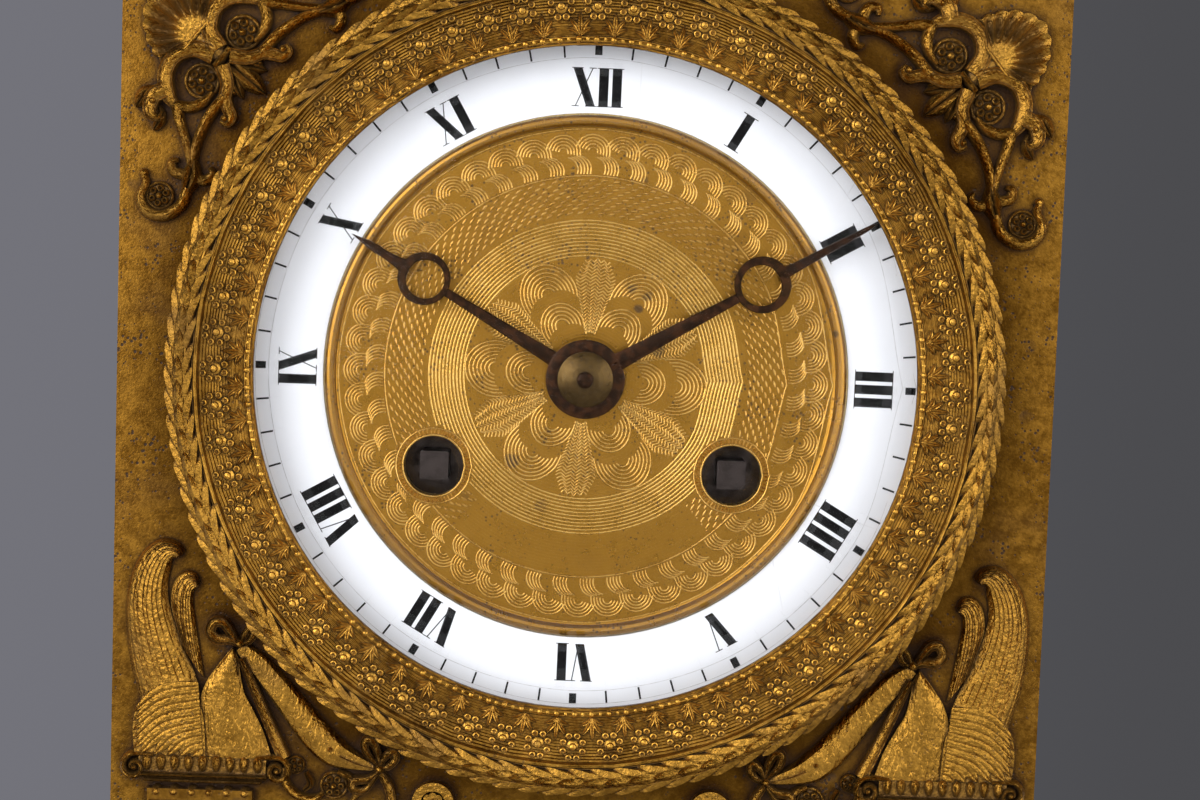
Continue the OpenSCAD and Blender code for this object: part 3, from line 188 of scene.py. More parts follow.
def smooth_line(points, count):
    """A smooth line of count points through the given points."""
    points = [Vector(p) for p in points]
    ends = [2 * points[0] - points[1]] + points + [2 * points[-1] - points[-2]]
    line = []
    for i in range(count):
        at = i * (len(points) - 1) / (count - 1)
        k = min(int(at), len(points) - 2)
        t = at - k
        a, b, c, d = ends[k:k + 4]
        line.append(0.5 * (2 * b + (c - a) * t + (2 * a - 5 * b + 4 * c - d) * t ** 2
                           + (3 * b - a - 3 * c + d) * t ** 3))
    return line


def between(values, t):
    """The value at t, from 0 to 1, along a list of numbers, or the one number given."""
    if not isinstance(values, (list, tuple)):
        return values
    at = t * (len(values) - 1)
    k = min(int(at), len(values) - 2)
    return values[k] + (values[k + 1] - values[k]) * (at - k)


def polar(r, a, x=0, up=0):
    """The point at a radius and an angle from a middle."""
    return x + r * math.cos(a), up + r * math.sin(a)


def swell(t, power=0.6):
    """A leaf's width along its length: nothing at both ends."""
    return max(math.sin(math.pi * t), 0) ** power


class Relief:
    """Faces drawn from the front, in millimetres from the dial's middle: x, up and out."""

    def __init__(self):
        self.verts, self.faces = [], []
        self.place = lambda x, up: (x, up)
        self.base = 0

    def shell(self, rows):
        """A closed shell: a grid of rows that face out, with its back and its ends filled in."""
        start = len(self.verts)
        width = len(rows[0])
        for row in rows:
            for x, up, out in row:
                self.verts.append(Vector((*self.place(x, up), out + self.base)))

        def at(i, j):
            return start + i * width + j % width

        last = len(rows) - 1
        for i in range(last):
            for j in range(width):
                self.faces.append((at(i, j), at(i, j + 1), at(i + 1, j + 1), at(i + 1, j)))
        self.faces.append(tuple(at(0, j) for j in reversed(range(width))))
        self.faces.append(tuple(at(last, j) for j in range(width)))

    def strip(self, points, width, height, section=ROUND, count=None, lift=0):
        """A raised strip of the given half width and height along a line."""
        line = smooth_line(points, count or 4 * len(points))
        rows = []
        for i, p in enumerate(line):
            t = i / (len(line) - 1)
            ahead = line[min(i + 1, len(line) - 1)] - line[max(i - 1, 0)]
            side = Vector((-ahead.y, ahead.x)).normalized()
            w, h = max(between(width, t), 0.01), between(height, t)
            up = between(lift, t)
            rows.append([(*(p + side * v * w), up + k * h) for v, k in section])
        self.shell(rows)

    def leaf(self, foot, tip, width, height, bend=0, lift=0, section=LEAF, count=8):
        """A pointed leaf from its foot to its tip."""
        foot, tip = Vector(foot), Vector(tip)
        side = Vector((foot.y - tip.y, tip.x - foot.x)) * bend
        middle = (foot + tip) / 2 + side
        widths = [width * swell(0.12 + 0.88 * i / 10) for i in range(11)]
        heights = [height * (0.55 + 0.45 * swell(i / 10)) for i in range(11)]
        self.strip([foot, middle, tip], widths, heights, section, count, lift)

    def turned(self, x, up, profile, sides):
        """A closed round boss from pairs of radius and height, which end at its top."""
        self.shell([[(*polar(r, math.tau * j / sides, x, up), out) for j in range(sides)]
                    for r, out in profile])

    def dome(self, x, up, r, h, foot=0, sides=12, rings=3):
        """A round boss with a domed top."""
        angles = [math.pi / 2 * i / rings for i in range(rings)]
        profile = [(r * math.cos(a), foot + h * math.sin(a)) for a in angles]
        self.turned(x, up, profile + [(0.05 * r, foot + h)], sides)

    def cup(self, x, up, r, h, foot=0, sides=8):
        """A round petal with a dent in its middle."""
        profile = ((1, 0), (0.82, 0.85), (0.58, 1), (0.12, 0.45))
        self.turned(x, up, [(r * k, foot + h * share) for k, share in profile], sides)

    def hoop(self, x, up, r, width, height, foot=0, section=ROUND, count=24):
        """A raised strip round a circle."""
        circle = [polar(r, math.tau * i / 12, x, up) for i in range(13)]
        self.strip(circle, width, height, section, count, foot)

    def rosette(self, x, up, r, height, petals=6):
        """A flower with a rim, petals and a raised heart."""
        self.dome(x, up, r, height * 0.35, sides=24)
        self.hoop(x, up, r * 0.9, r * 0.13, height * 0.3, foot=height * 0.1)
        for i in range(petals):
            petal = polar(0.52 * r, math.tau * i / petals, x, up)
            self.cup(*petal, r * 0.28, height * 0.55, height * 0.15, sides=10)
        self.dome(x, up, r * 0.24, height * 0.6, height * 0.35, sides=10)

    def sheet(self, line_a, line_b, along, across, height):
        """A sheet between two lines, whose height is a function of place along and across."""
        line_a, line_b = smooth_line(line_a, along), smooth_line(line_b, along)
        rows = []
        for i in range(along):
            t = i / (along - 1)
            a, b = line_a[i], line_b[i]
            row = [(*a, -0.1)]
            row += [(*(a + (b - a) * j / across), height(t, j / across)) for j in range(across + 1)]
            rows.append(row + [(*b, -0.1)])
        self.shell(rows)

    def mesh(self, name, centred=True):
        """The faces as a mesh, about the dial's middle or in its place on the clock."""
        middle = Vector((0, PANEL_Y, DIAL_Z)) if centred else Vector()
        data = bpy.data.meshes.new(name)
        data.from_pydata([(middle + Vector((v.x, -v.z, v.y))) * MM for v in self.verts], [], self.faces)
        return tidy_mesh(data)


def tidy_mesh(data, crease=38):
    """Turns every face outwards, and keeps the sharp folds crisp."""
    work = bmesh.new()
    work.from_mesh(data)
    bmesh.ops.recalc_face_normals(work, faces=work.faces)
    work.to_mesh(data)
    work.free()
    data.shade_smooth()
    data.set_sharp_from_angle(angle=math.radians(crease))
    return data


def piece(name, data, body, material, replaced=()):
    """A new piece of the clock, which rides on a body and may stand for nodes of the model."""
    obj = bpy.data.objects.new(name, data)
    bpy.context.scene.collection.objects.link(obj)
    data.materials.clear()
    data.materials.append(bpy.data.materials[material])
    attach(obj, body)
    if replaced:
        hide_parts(*replaced)


def ring_tree():
    """The node tree that repeats one unit round the dial's axis."""
    name = "Repeat round the dial"
    if name in bpy.data.node_groups:
        return bpy.data.node_groups[name]
    tree = bpy.data.node_groups.new(name, "GeometryNodeTree")
    face = tree.interface
    for label, kind in (("Unit", "NodeSocketObject"), ("Count", "NodeSocketInt"),
                        ("Turn", "NodeSocketFloat"), ("Centre", "NodeSocketVector"),
                        ("Unevenness", "NodeSocketFloat"), ("Seed", "NodeSocketInt"),
                        ("Material", "NodeSocketMaterial")):
        face.new_socket(label, in_out="INPUT", socket_type=kind)
    face.new_socket("Geometry", in_out="OUTPUT", socket_type="NodeSocketGeometry")
    given = tree.nodes.new("NodeGroupInput").outputs
    points = add(tree, "GeometryNodePoints", {"Count": given["Count"], "Position": given["Centre"]})
    index = tree.nodes.new("GeometryNodeInputIndex").outputs[0]
    step = calc(tree, "DIVIDE", math.tau, given["Count"])
    uneven = add(tree, "FunctionNodeRandomValue", {"Seed": given["Seed"], "Min": -1, "Max": 1},
                 data_type="FLOAT")
    shift = calc(tree, "MULTIPLY", uneven.outputs["Value"], given["Unevenness"])
    angle = calc(tree, "MULTIPLY_ADD", index, step, calc(tree, "ADD", given["Turn"], shift))
    turn = add(tree, "ShaderNodeCombineXYZ", {"Y": angle})
    unit = add(tree, "GeometryNodeObjectInfo", {"Object": given["Unit"]})
    placed = add(tree, "GeometryNodeInstanceOnPoints", {
        "Points": points.outputs[0], "Instance": unit.outputs["Geometry"], "Rotation": turn.outputs[0]})
    solid = add(tree, "GeometryNodeRealizeInstances", {"Geometry": placed.outputs[0]})
    coated = add(tree, "GeometryNodeSetMaterial", {
        "Geometry": solid.outputs[0], "Material": given["Material"]})
    feed(tree, tree.nodes.new("NodeGroupOutput"), {0: coated.outputs[0]})
    return tree


def ring_of(relief, name, count, material, turn=0, unevenness=0):
    """A mesh of one relief repeated round the dial's axis."""
    scene = bpy.context.scene
    unit = bpy.data.objects.new("unit", relief.mesh("unit", centred=False))
    host = bpy.data.objects.new("host", bpy.data.meshes.new("host"))
    scene.collection.objects.link(unit)
    scene.collection.objects.link(host)
    modifier = host.modifiers.new("Repeat", "NODES")
    modifier.node_group = ring_tree()
    values = {"Unit": unit, "Count": count, "Turn": turn, "Unevenness": unevenness, "Seed": 7,
              "Centre": [0, PANEL_Y * MM, DIAL_Z * MM], "Material": bpy.data.materials[material]}
    for item in modifier.node_group.interface.items_tree:
        if item.item_type == "SOCKET" and item.in_out == "INPUT":
            modifier[item.identifier] = values[item.name]
    host.update_tag()
    ready = host.evaluated_get(bpy.context.evaluated_depsgraph_get())
    data = bpy.data.meshes.new_from_object(ready)
    data.name = name
    host.modifiers.remove(modifier)
    for obj in (host, unit):
        bpy.data.objects.remove(obj)
    return data


# Node helpers


def feed(tree, item, inputs):
    """Joins each named input of a node to a socket, or sets its value."""
    for key, value in inputs.items():
        if isinstance(value, bpy.types.NodeSocket):
            tree.links.new(value, item.inputs[key])
        else:
            item.inputs[key].default_value = value
    return item


def add(tree, kind, inputs=None, **options):
    """A node with its options set and its inputs fed."""
    item = tree.nodes.new(kind)
    for name, value in options.items():
        setattr(item, name, value)
    return feed(tree, item, inputs or {})


def calc(tree, operation, *values):
    """The output of a Math node."""
    return add(tree, "ShaderNodeMath", dict(enumerate(values)), operation=operation).outputs[0]


def times(tree, first, second):
    """The product of two values."""
    return calc(tree, "MULTIPLY", first, second)


def remap(tree, value, low, high, to_low=0.0, to_high=1.0):
    """A value eased from one range to another."""
    return add(tree, "ShaderNodeMapRange", {
        "Value": value, "From Min": low, "From Max": high, "To Min": to_low, "To Max": to_high,
    }, interpolation_type="SMOOTHSTEP").outputs[0]


def blend_colour(tree, factor, first, second):
    """A mix of two colours."""
    return add(tree, "ShaderNodeMix", {0: factor, 6: first, 7: second}, data_type="RGBA").outputs[2]


def cloud(tree, place, scale, detail=3.0):
    """A noise texture's value."""
    return add(tree, "ShaderNodeTexNoise", {"Vector": place, "Scale": scale, "Detail": detail}).outputs[0]


def cells(tree, place, scale, **options):
    """Distance from the points of a cell pattern, or from its edges."""
    return add(tree, "ShaderNodeTexVoronoi", {"Vector": place, "Scale": scale}, **options).outputs["Distance"]


def openness(tree, reach):
    """How open a place is to the air within a reach."""
    return add(tree, "ShaderNodeAmbientOcclusion", {"Distance": reach}, samples=6).outputs["AO"]


def stretched(tree, place, scale):
    """The place scaled unevenly."""
    return add(tree, "ShaderNodeMapping", {"Vector": place, "Scale": scale}).outputs[0]


# Materials


def gilding_group():
    """Mottled, pitted and grimy gilding with painted shade in its hollows and round what stands off it, as a
    group of colour, masks and height.
    """
    tree = bpy.data.node_groups.new("Gilding wear", "ShaderNodeTree")
    for way, kind, labels in (
            ("INPUT", "Vector", ("Place",)),
            ("INPUT", "Color", ("Bright", "Dull", "Dirt and Shade Colour", "Shade Colour")),
            ("INPUT", "Float", ("Mottle", "Pitting", "Dirt and Shade", "Smooth", "Rough", "Shade")),
            ("OUTPUT", "Color", ("Color",)),
            ("OUTPUT", "Float", ("Roughness", "Metal", "Height"))):
        for label in labels:
            tree.interface.new_socket(label, in_out=way, socket_type="NodeSocket" + kind)
    given = tree.nodes.new("NodeGroupInput").outputs
    place = given["Place"]

    # Patches of burnished and dull gilding
    broad, middle, fine = (cloud(tree, place, *scale) for scale in ((34, 4), (420, 6), (1700, 3)))
    tone = calc(tree, "MULTIPLY_ADD", middle, 0.4, times(tree, broad, 0.3))
    tone = calc(tree, "MULTIPLY_ADD", fine, 0.3, tone)
    half = times(tree, given["Mottle"], 0.3)
    tone = remap(tree, tone, calc(tree, "SUBTRACT", 0.5, half), calc(tree, "ADD", 0.5, half))

    # Small pits and larger blots
    few = remap(tree, cloud(tree, place, 150, 4), 0.68, 0.42)
    pits = remap(tree, calc(tree, "MULTIPLY_ADD", few, 0.24, cells(tree, place, 1250)), 0.42, 0.2)
    ragged = calc(tree, "MULTIPLY_ADD", middle, 0.3, cells(tree, place, 120))
    blots = times(tree, remap(tree, ragged, 0.3, 0.24), remap(tree, broad, 0.5, 0.62))
    pits = times(tree, calc(tree, "MAXIMUM", pits, blots), given["Pitting"])

    # Dirt and painted shade in the hollows, stains, and the painted wide shade of what stands off a panel
    deep = remap(tree, openness(tree, 2.4 * MM), 0.9, 0.35)
    stain = times(tree, remap(tree, cloud(tree, place, 85, 7), 0.5, 0.8), 0.45)
    dirt_and_shade = times(tree, calc(tree, "MAXIMUM", deep, stain), given["Dirt and Shade"])
    dark = add(tree, "ShaderNodeClamp", {"Value": calc(tree, "MAXIMUM", pits, dirt_and_shade)}).outputs[0]
    shade = times(tree, remap(tree, openness(tree, 11 * MM), 1.0, 0.5), given["Shade"])

    colour = blend_colour(tree, tone, given["Dull"], given["Bright"])
    colour = blend_colour(tree, shade, colour, given["Shade Colour"])
    matte = add(tree, "ShaderNodeMapRange", {
        "Value": calc(tree, "MULTIPLY_ADD", fine, 0.4, times(tree, middle, 0.6)),
        "From Min": 0.35, "From Max": 0.65, "To Min": given["Smooth"], "To Max": given["Rough"]}).outputs[0]
    bumps = calc(tree, "MULTIPLY_ADD", fine, 0.6, times(tree, middle, 0.25))
    feed(tree, tree.nodes.new("NodeGroupOutput"), {
        "Color": blend_colour(tree, dark, colour, given["Dirt and Shade Colour"]),
        "Roughness": calc(tree, "MULTIPLY_ADD", dark, 0.3, matte),
        "Metal": calc(tree, "MULTIPLY_ADD", dark, -0.6, 1),
        "Height": calc(tree, "SUBTRACT", bumps, times(tree, pits, 0.8))})


def shader(name):
    """A new material's tree, its Principled shader and the object's coordinates."""
    material = bpy.data.materials.new(name)
    material.use_nodes = True
    tree = material.node_tree
    return tree, tree.nodes["Principled BSDF"], tree.nodes.new("ShaderNodeTexCoord").outputs["Object"]


def bump(tree, surface, height, depth, strength=0.6):
    """Joins a height to the shader's normal; its depth is in millimetres."""
    item = add(tree, "ShaderNodeBump", {"Height": height, "Distance": depth * MM, "Strength": strength})
    feed(tree, surface, {"Normal": item.outputs[0]})


def gilt(name, bright, dull, mottle, pitting, dirt_and_shade, smooth, rough, depth=0.12, lines=None, shade=0.0):
    """A gilded metal; lines adds a function of the tree and place to the height."""
    tree, surface, place = shader(name)
    finish = settings("finish")
    wear_and_shade = add(tree, "ShaderNodeGroup", {
        "Place": place, "Bright": bright, "Dull": dull, "Dirt and Shade Colour": finish.dirt_and_shade,
        "Shade Colour": finish.shade, "Mottle": mottle, "Pitting": pitting, "Dirt and Shade": dirt_and_shade,
        "Smooth": smooth, "Rough": rough, "Shade": shade,
    }, node_tree=bpy.data.node_groups["Gilding wear"]).outputs
    feed(tree, surface, {
        "Base Color": wear_and_shade["Color"], "Roughness": wear_and_shade["Roughness"], "Metallic": wear_and_shade["Metal"]})
    height = wear_and_shade["Height"]
    if lines:
        height = calc(tree, "ADD", height, lines(tree, place))
    bump(tree, surface, height, depth)


def rings(tree, place, pitch, height, wander=None):
    """Fine rings round the dial's axis, a pitch in millimetres apart."""
    parts = add(tree, "ShaderNodeSeparateXYZ", {"Vector": place}).outputs
    up = calc(tree, "SUBTRACT", parts["Z"], DIAL_Z * MM)
    radius = calc(tree, "SQRT", calc(tree, "MULTIPLY_ADD", up, up, times(tree, parts["X"], parts["X"])))
    if wander is not None:
        radius = calc(tree, "ADD", radius, wander)
    return times(tree, calc(tree, "SINE", times(tree, radius, math.tau / (pitch * MM))), height)


def ring_hatch(tree, place):
    """Rings broken like graver strokes."""
    return rings(tree, place, 0.42, 0.55, times(tree, cloud(tree, place, 160, 2), 0.6 * MM))


def turned_rings(tree, place):
    """Fine lathe rings."""
    return rings(tree, place, 0.5, 0.12)


def feather_strokes(tree, place):
    """Short upright strokes of a chasing tool."""
    strokes = cloud(tree, stretched(tree, place, (1500, 900, 520)), 1, 2)
    return times(tree, remap(tree, strokes, 0.42, 0.6), 0.45)


def stippled(tree, place):
    """The even grain of matting."""
    return times(tree, cloud(tree, place, 2600, 2), 0.9)


def chased_grain(tree, place):
    """The crumbled surface of old chasing."""
    return times(tree, cloud(tree, place, 1300, 7), 1.9)


def make_metals():
    """All the gilded finishes."""
    finish = settings("finish")
    bright, dull, panel = finish.bright_gold, finish.dull_gold, finish.panel_gold
    middling = [(a + b) / 2 for a, b in zip(bright, dull)]
    dark = [(a + b) / 2 for a, b in zip(dull, panel)]
    gilding_group()
    # Name, high and low colour, mottle, pitting, dirt and painted shade in hollows, smoothest, roughest, bump
    # in mm, lines, painted shade off a panel
    for row in (
            ("Panel gilding", dull, panel, 0.5, 0.9, 0.5, 0.3, 0.48, 0.12, stippled, 1.0),
            ("Case gilding", dull, panel, 0.5, 0.6, 0.8, 0.28, 0.46),
            ("Chased gilding", bright, dull, 0.6, 0.35, 0.9, 0.18, 0.38, 0.2, stippled),
            ("Laurel gilding", middling, panel, 0.9, 0.4, 1, 0.2, 0.38, 0.3, chased_grain),
            ("Hatched gilding", middling, panel, 0.6, 0.5, 0.8, 0.26, 0.44, 0.3, ring_hatch),
            ("Mount gilding", middling, dark, 1.0, 0.45, 0.85, 0.16, 0.34, 0.34, chased_grain),
            ("Feather gilding", middling, dark, 0.9, 0.4, 0.9, 0.18, 0.38, 0.34, feather_strokes),
            ("Dial gilding", finish.dial_gold, dull, 1.3, 0.8, 0.45, 0.24, 0.4, 0.06, turned_rings),
            # The engine-turned lines and winding rims are painted paler than the gilt between them, as a
            # painted highlight
            ("Turned gilding with painted highlight", finish.pale_gold, middling, 0.9, 0.35, 0.25, 0.2, 0.34),
            ("Old brass", (0.1, 0.062, 0.022, 1), (0.045, 0.027, 0.01, 1), 0.6, 0.3, 0.8, 0.26, 0.42, 0.05)):
        gilt(*row)


def make_enamel():
    """White enamel with faint specks and cracks, and the paint of its figures."""
    tree, surface, place = shader("White enamel")
    spots = times(tree, remap(tree, cells(tree, place, 420), 0.06, 0.03),
                  remap(tree, cloud(tree, place, 60), 0.5, 0.7))
    cracks = cells(tree, place, 26, feature="DISTANCE_TO_EDGE")
    veins = times(tree, remap(tree, cracks, 0.004, 0.001), remap(tree, cloud(tree, place, 30), 0.56, 0.66))
    faint = times(tree, calc(tree, "MAXIMUM", spots, times(tree, veins, 0.5)), 0.5)
    tint = blend_colour(tree, cloud(tree, place, 40, 2), settings("finish").enamel, (0.87, 0.89, 0.94, 1))
    feed(tree, surface, {
        "Base Color": blend_colour(tree, faint, tint, (0.3, 0.28, 0.26, 1)),
        "Roughness": remap(tree, cloud(tree, place, 90, 3), 0.3, 0.7, 0.07, 0.16), "Coat Weight": 0.4})
    bump(tree, surface, cloud(tree, place, 120, 1), 0.08, 0.3)

    for name, low, high in (("Figure black", 0.004, 0.009), ("Faded line", 0.35, 0.62)):
        tree, surface, place = shader(name)
        tone = remap(tree, cloud(tree, place, 700, 3), 0.3, 0.7)
        feed(tree, surface, {
            "Base Color": blend_colour(tree, tone, (low, low, low, 1), (high, high, high * 1.05, 1)),
            "Roughness": 0.6, "Specular IOR Level": 0.06})


def make_steels():
    """Browned, bright and dark steel, bell metal, brass and glass."""
    finish = settings("finish")
    tree, surface, place = shader("Browned steel")
    rust = remap(tree, cloud(tree, place, 900, 5), 0.42, 0.66)
    feed(tree, surface, {
        "Base Color": blend_colour(tree, rust, finish.hand_steel, (0.05, 0.019, 0.007, 1)),
        "Roughness": remap(tree, rust, 0, 1, 0.3, 0.62), "Metallic": 0.7, "Specular IOR Level": 0.2})
    bump(tree, surface, cloud(tree, place, 2400, 3), 0.06)

    for name, colour, smooth, rough, scale in (
            ("Bright steel", (0.34, 0.34, 0.36), 0.2, 0.42, 300),
            ("Dark steel", (0.06, 0.048, 0.044), 0.35, 0.6, 500),
            ("Bell metal", (0.5, 0.44, 0.34), 0.18, 0.34, 120)):
        tree, surface, place = shader(name)
        tone = remap(tree, cloud(tree, place, scale, 5), 0.35, 0.7)
        darker = (c * 0.62 for c in colour)
        feed(tree, surface, {
            "Base Color": blend_colour(tree, tone, (*colour, 1), (*darker, 1)),
            "Roughness": remap(tree, tone, 0, 1, smooth, rough), "Metallic": 1})
        bump(tree, surface, cloud(tree, place, 2000, 2), 0.04)

    tree, surface, place = shader("Movement brass")
    grain = cloud(tree, stretched(tree, place, (1800, 300, 90)), 1, 3)
    tarnish = remap(tree, cloud(tree, place, 55, 5), 0.45, 0.75)
    feed(tree, surface, {
        "Base Color": blend_colour(tree, tarnish, finish.brass, (0.42, 0.27, 0.1, 1)),
        "Roughness": remap(tree, grain, 0.3, 0.7, 0.2, 0.38), "Metallic": 1})
    bump(tree, surface, grain, 0.03)

    tree, surface, place = shader("Domed glass")
    feed(tree, surface, {
        "Base Color": (1, 1, 1, 1), "Roughness": 0.02, "Transmission Weight": 1, "IOR": 1.45,
        "Alpha": remap(tree, cloud(tree, place, 20, 3), 0.3, 0.7, 0.02, 0.035)})


# Bezel


def torus_point(angle, across, rise):
    """A point on the leafy outer moulding: angle round the bezel and across its back, both in degrees."""
    tube = 1.9
    middle = BEZEL_R - tube
    r = middle + (tube + rise) * math.cos(math.radians(across))
    out = BEZEL_H - tube + (tube + rise) * math.sin(math.radians(across))
    return (*polar(r, math.radians(90 - angle)), out)


def band_out(r):
    """Height of the hollow band at a radius."""
    outer, inner, low, high = BEZEL_R - 4.8, 53.65, 6.3, BEZEL_H - 2
    reach, rise = outer - inner, high - low
    curve = (reach ** 2 + rise ** 2) / (2 * rise)
    x = min(max(r - inner, 0), reach)
    return low + curve - math.sqrt(curve ** 2 - x ** 2)


def leaf_on_moulding(relief, foot, tip, width, pitch, rise):
    """One laurel leaf on the outer moulding, from across the foot to across the tip, in degrees."""
    rows = []
    for i in range(8):
        t = i / 7
        half = width * swell(0.22 + 0.78 * t, 0.7)
        lifted = rise * (0.05 + 0.95 * t ** 0.8) * (1 - 0.6 * t ** 7)
        middle = foot + (tip - foot) * t
        row = []
        for v in (-1, -0.85, -0.4, -0.08, 0, 0.08, 0.4, 0.85, 1):
            k = {1: -0.6, 0.85: 0.1, 0.4: 0.6, 0.08: 0.98, 0: 1.1}[abs(v)]
            row.append(torus_point(pitch * (1.3 * t - 0.6), middle + v * half, lifted * k))
        rows.append(row)
    relief.shell(rows)


def chased_ring(name, unit, count, turn, unevenness):
    """A row of one chased ornament round the bezel; its unevenness is in degrees."""
    data = ring_of(unit, name, count, "Chased gilding", turn, math.radians(unevenness))
    piece("bezel_" + name, data, "bezel", "Chased gilding")


class CLOCK_OT_bezel(bpy.types.Operator):
    """Chase the bezel with laurel leaves, rosettes, sprays of leaves and beads"""

    bl_idname = "clock.bezel"
    bl_label = "Bezel"

    def execute(self, context):
        given = settings("bezel")
        pitch = 360 / given.leaf_count
        for row, (foot, tip, width) in enumerate(((90, 90, 30), (50, 24, 31), (130, 156, 31))):
            unit = Relief()
            leaf_on_moulding(unit, foot, tip, width, pitch, given.leaf_rise / MM * (1.1 if row == 0 else 0.9))
            data = ring_of(unit, "leaf_row", given.leaf_count, "Laurel gilding",
                           math.radians(pitch * (0.5 if row else 0)), math.radians(0.35))
            piece(f"bezel_leaves_{row + 1}", data, "bezel", "Laurel gilding")

        unit = Relief()
        middle, petal = BEZEL_R - 6.95, 1.68
        unit.base = band_out(middle) - 0.1
        unit.dome(0, middle, 0.72, 0.75, 0.15, sides=9, rings=2)
        unit.dome(0, middle, 1.05, 0.42, sides=12, rings=2)
        for i in range(8):
            x, up = polar(petal, math.tau * (i + 0.5) / 8, 0, middle)
            unit.cup(x, up, 0.66, 0.55, band_out(up) - band_out(middle))
        chased_ring("rosettes", unit, given.rosette_count, 0, 0.25)

        unit = Relief()
        foot = (0, BEZEL_R - 11.3)
        unit.base = band_out(foot[1])
        for lean, reach in ((-62, 2.3), (-32, 3.1), (0, 3.5), (32, 3.1), (62, 2.3)):
            tip = polar(reach, math.radians(90 - lean), *foot)
            rise = band_out(math.hypot(*tip)) - unit.base
            unit.leaf(foot, tip, 0.52, 0.42, bend=0.002 * lean, lift=[0, rise * 0.4, rise], count=7)
        chased_ring("sprays", unit, given.rosette_count, math.pi / given.rosette_count, 0.3)

        unit = Relief()
        bead_ring, step = 53.05, math.pi / given.bead_count
        unit.dome(0, bead_ring, 0.62, 0.6, 6.35, sides=9, rings=3)
        unit.dome(*polar(bead_ring, math.pi / 2 - step), 0.44, 0.42, 6.4, sides=8, rings=2)
        chased_ring("beads", unit, given.bead_count, 0, 0.12)
        return {"FINISHED"}


# Dial


def enamel_out(r):
    """Height of the enamel's face at a radius."""
    swell_h, half, middle = 0.35, 6.65, 48.85
    curve = (half ** 2 + swell_h ** 2) / (2 * swell_h)
    return ENAMEL_FACE - curve + math.sqrt(curve ** 2 - min(abs(r - middle), half) ** 2)


def figure_stroke(relief, foot, head, width, paint=0.03, sunk=0.05):
    """A straight painted stroke of one width, from foot to head, with level ends."""
    rows = []
    for i in range(7):
        t = i / 6
        x = foot[0] + (head[0] - foot[0]) * t
        up = foot[1] + (head[1] - foot[1]) * t
        face = enamel_out(math.hypot(x, up))
        rows.append([(x + side * width / 2, up, face + rise)
                     for side, rise in ((-1, -sunk), (-1, paint), (1, paint), (1, -sunk))])
    relief.shell(rows)


def draw_figure(relief, letters, inner, outer):
    """A Roman figure that stands on its radius, drawn at twelve o'clock."""
    thick, slanted, thin, serif = 1.5, 1.425, 0.17, 0.13
    widths = {"I": 2.1, "V": 4.0, "X": 4.1}
    x = -sum(widths[c] for c in letters) / 2
    marks = []
    for c in letters:
        w = widths[c]
        mid = x + w / 2
        if c == "I":
            figure_stroke(relief, (mid, inner), (mid, outer), thick)
            reach = 1.35 if letters == "I" else 1.05
            marks += [(mid - reach, mid + reach, inner), (mid - reach, mid + reach, outer)]
        elif c == "V":
            figure_stroke(relief, (mid + 0.25, inner), (mid - 1.1, outer), slanted)
            figure_stroke(relief, (mid + 0.45, inner + 0.1), (mid + 1.35, outer), thin)
            marks += [(x + 0.05, mid - 0.1, outer), (mid + 0.75, x + w, outer)]
        else:
            figure_stroke(relief, (mid + 1.1, inner), (mid - 1.1, outer), slanted)
            figure_stroke(relief, (mid - 1.3, inner), (mid + 1.3, outer), thin)
            marks += [(mid - 1.9, mid - 0.75, inner), (mid + 0.2, mid + 2.0, inner),
                      (mid - 2.0, mid - 0.2, outer), (mid + 0.75, mid + 1.9, outer)]
        x += w
    for left, right, up in marks:
        x = (left + right) / 2
        figure_stroke(relief, (x, up - serif / 2), (x, up + serif / 2), right - left)


FIGURES = ("XII", "I", "II", "III", "IIII", "V", "VI", "VII", "VIII", "IX", "X", "XI")


class CLOCK_OT_dial(bpy.types.Operator):
    """Paint the hours and minutes on the enamel"""

    bl_idname = "clock.dial"
    bl_label = "Dial figures"

    def execute(self, context):
        given = settings("dial")
        inner, outer = given.figure_inner / MM, given.figure_outer / MM
        relief = Relief()

        def turned(degrees):
            a = math.radians(degrees) + given.dial_turn
            return lambda x, up: (x * math.cos(a) + up * math.sin(a), up * math.cos(a) - x * math.sin(a))

        for hour, letters in enumerate(FIGURES):
            relief.place = turned(30 * hour)
            draw_figure(relief, letters, inner, outer)
        for minute in range(60):
            relief.place = turned(6 * minute)
            width = 1.15 if minute % 5 == 0 else 0.3
            low = given.track_inner / MM + (0.35 if minute % 5 == 0 else 0)
            figure_stroke(relief, (0, low), (0, given.track_outer / MM), width)
        relief.place = lambda x, up: (x, up)
        piece("dial_figures", relief.mesh("dial_figures"), "case", "Figure black")
        faint = Relief()
        for r in (given.track_inner / MM - 0.1, given.track_outer / MM + 0.1):
            faint.hoop(0, 0, r, 0.03, 0.03, foot=enamel_out(r), section=SLAB, count=180)
        piece("minute_circle", faint.mesh("minute_circle"), "case", "Faded line")
        return {"FINISHED"}


# Engine turning


def centre_relief():
    """An empty relief that stands on the gilt centre."""
    relief = Relief()
    relief.base = CENTRE_FACE
    return relief


def turned_ring(unit, count, turn):
    """A ring of one unit of the engine turning."""
    return ring_of(unit, "turning", count, "Turned gilding with painted highlight", turn)


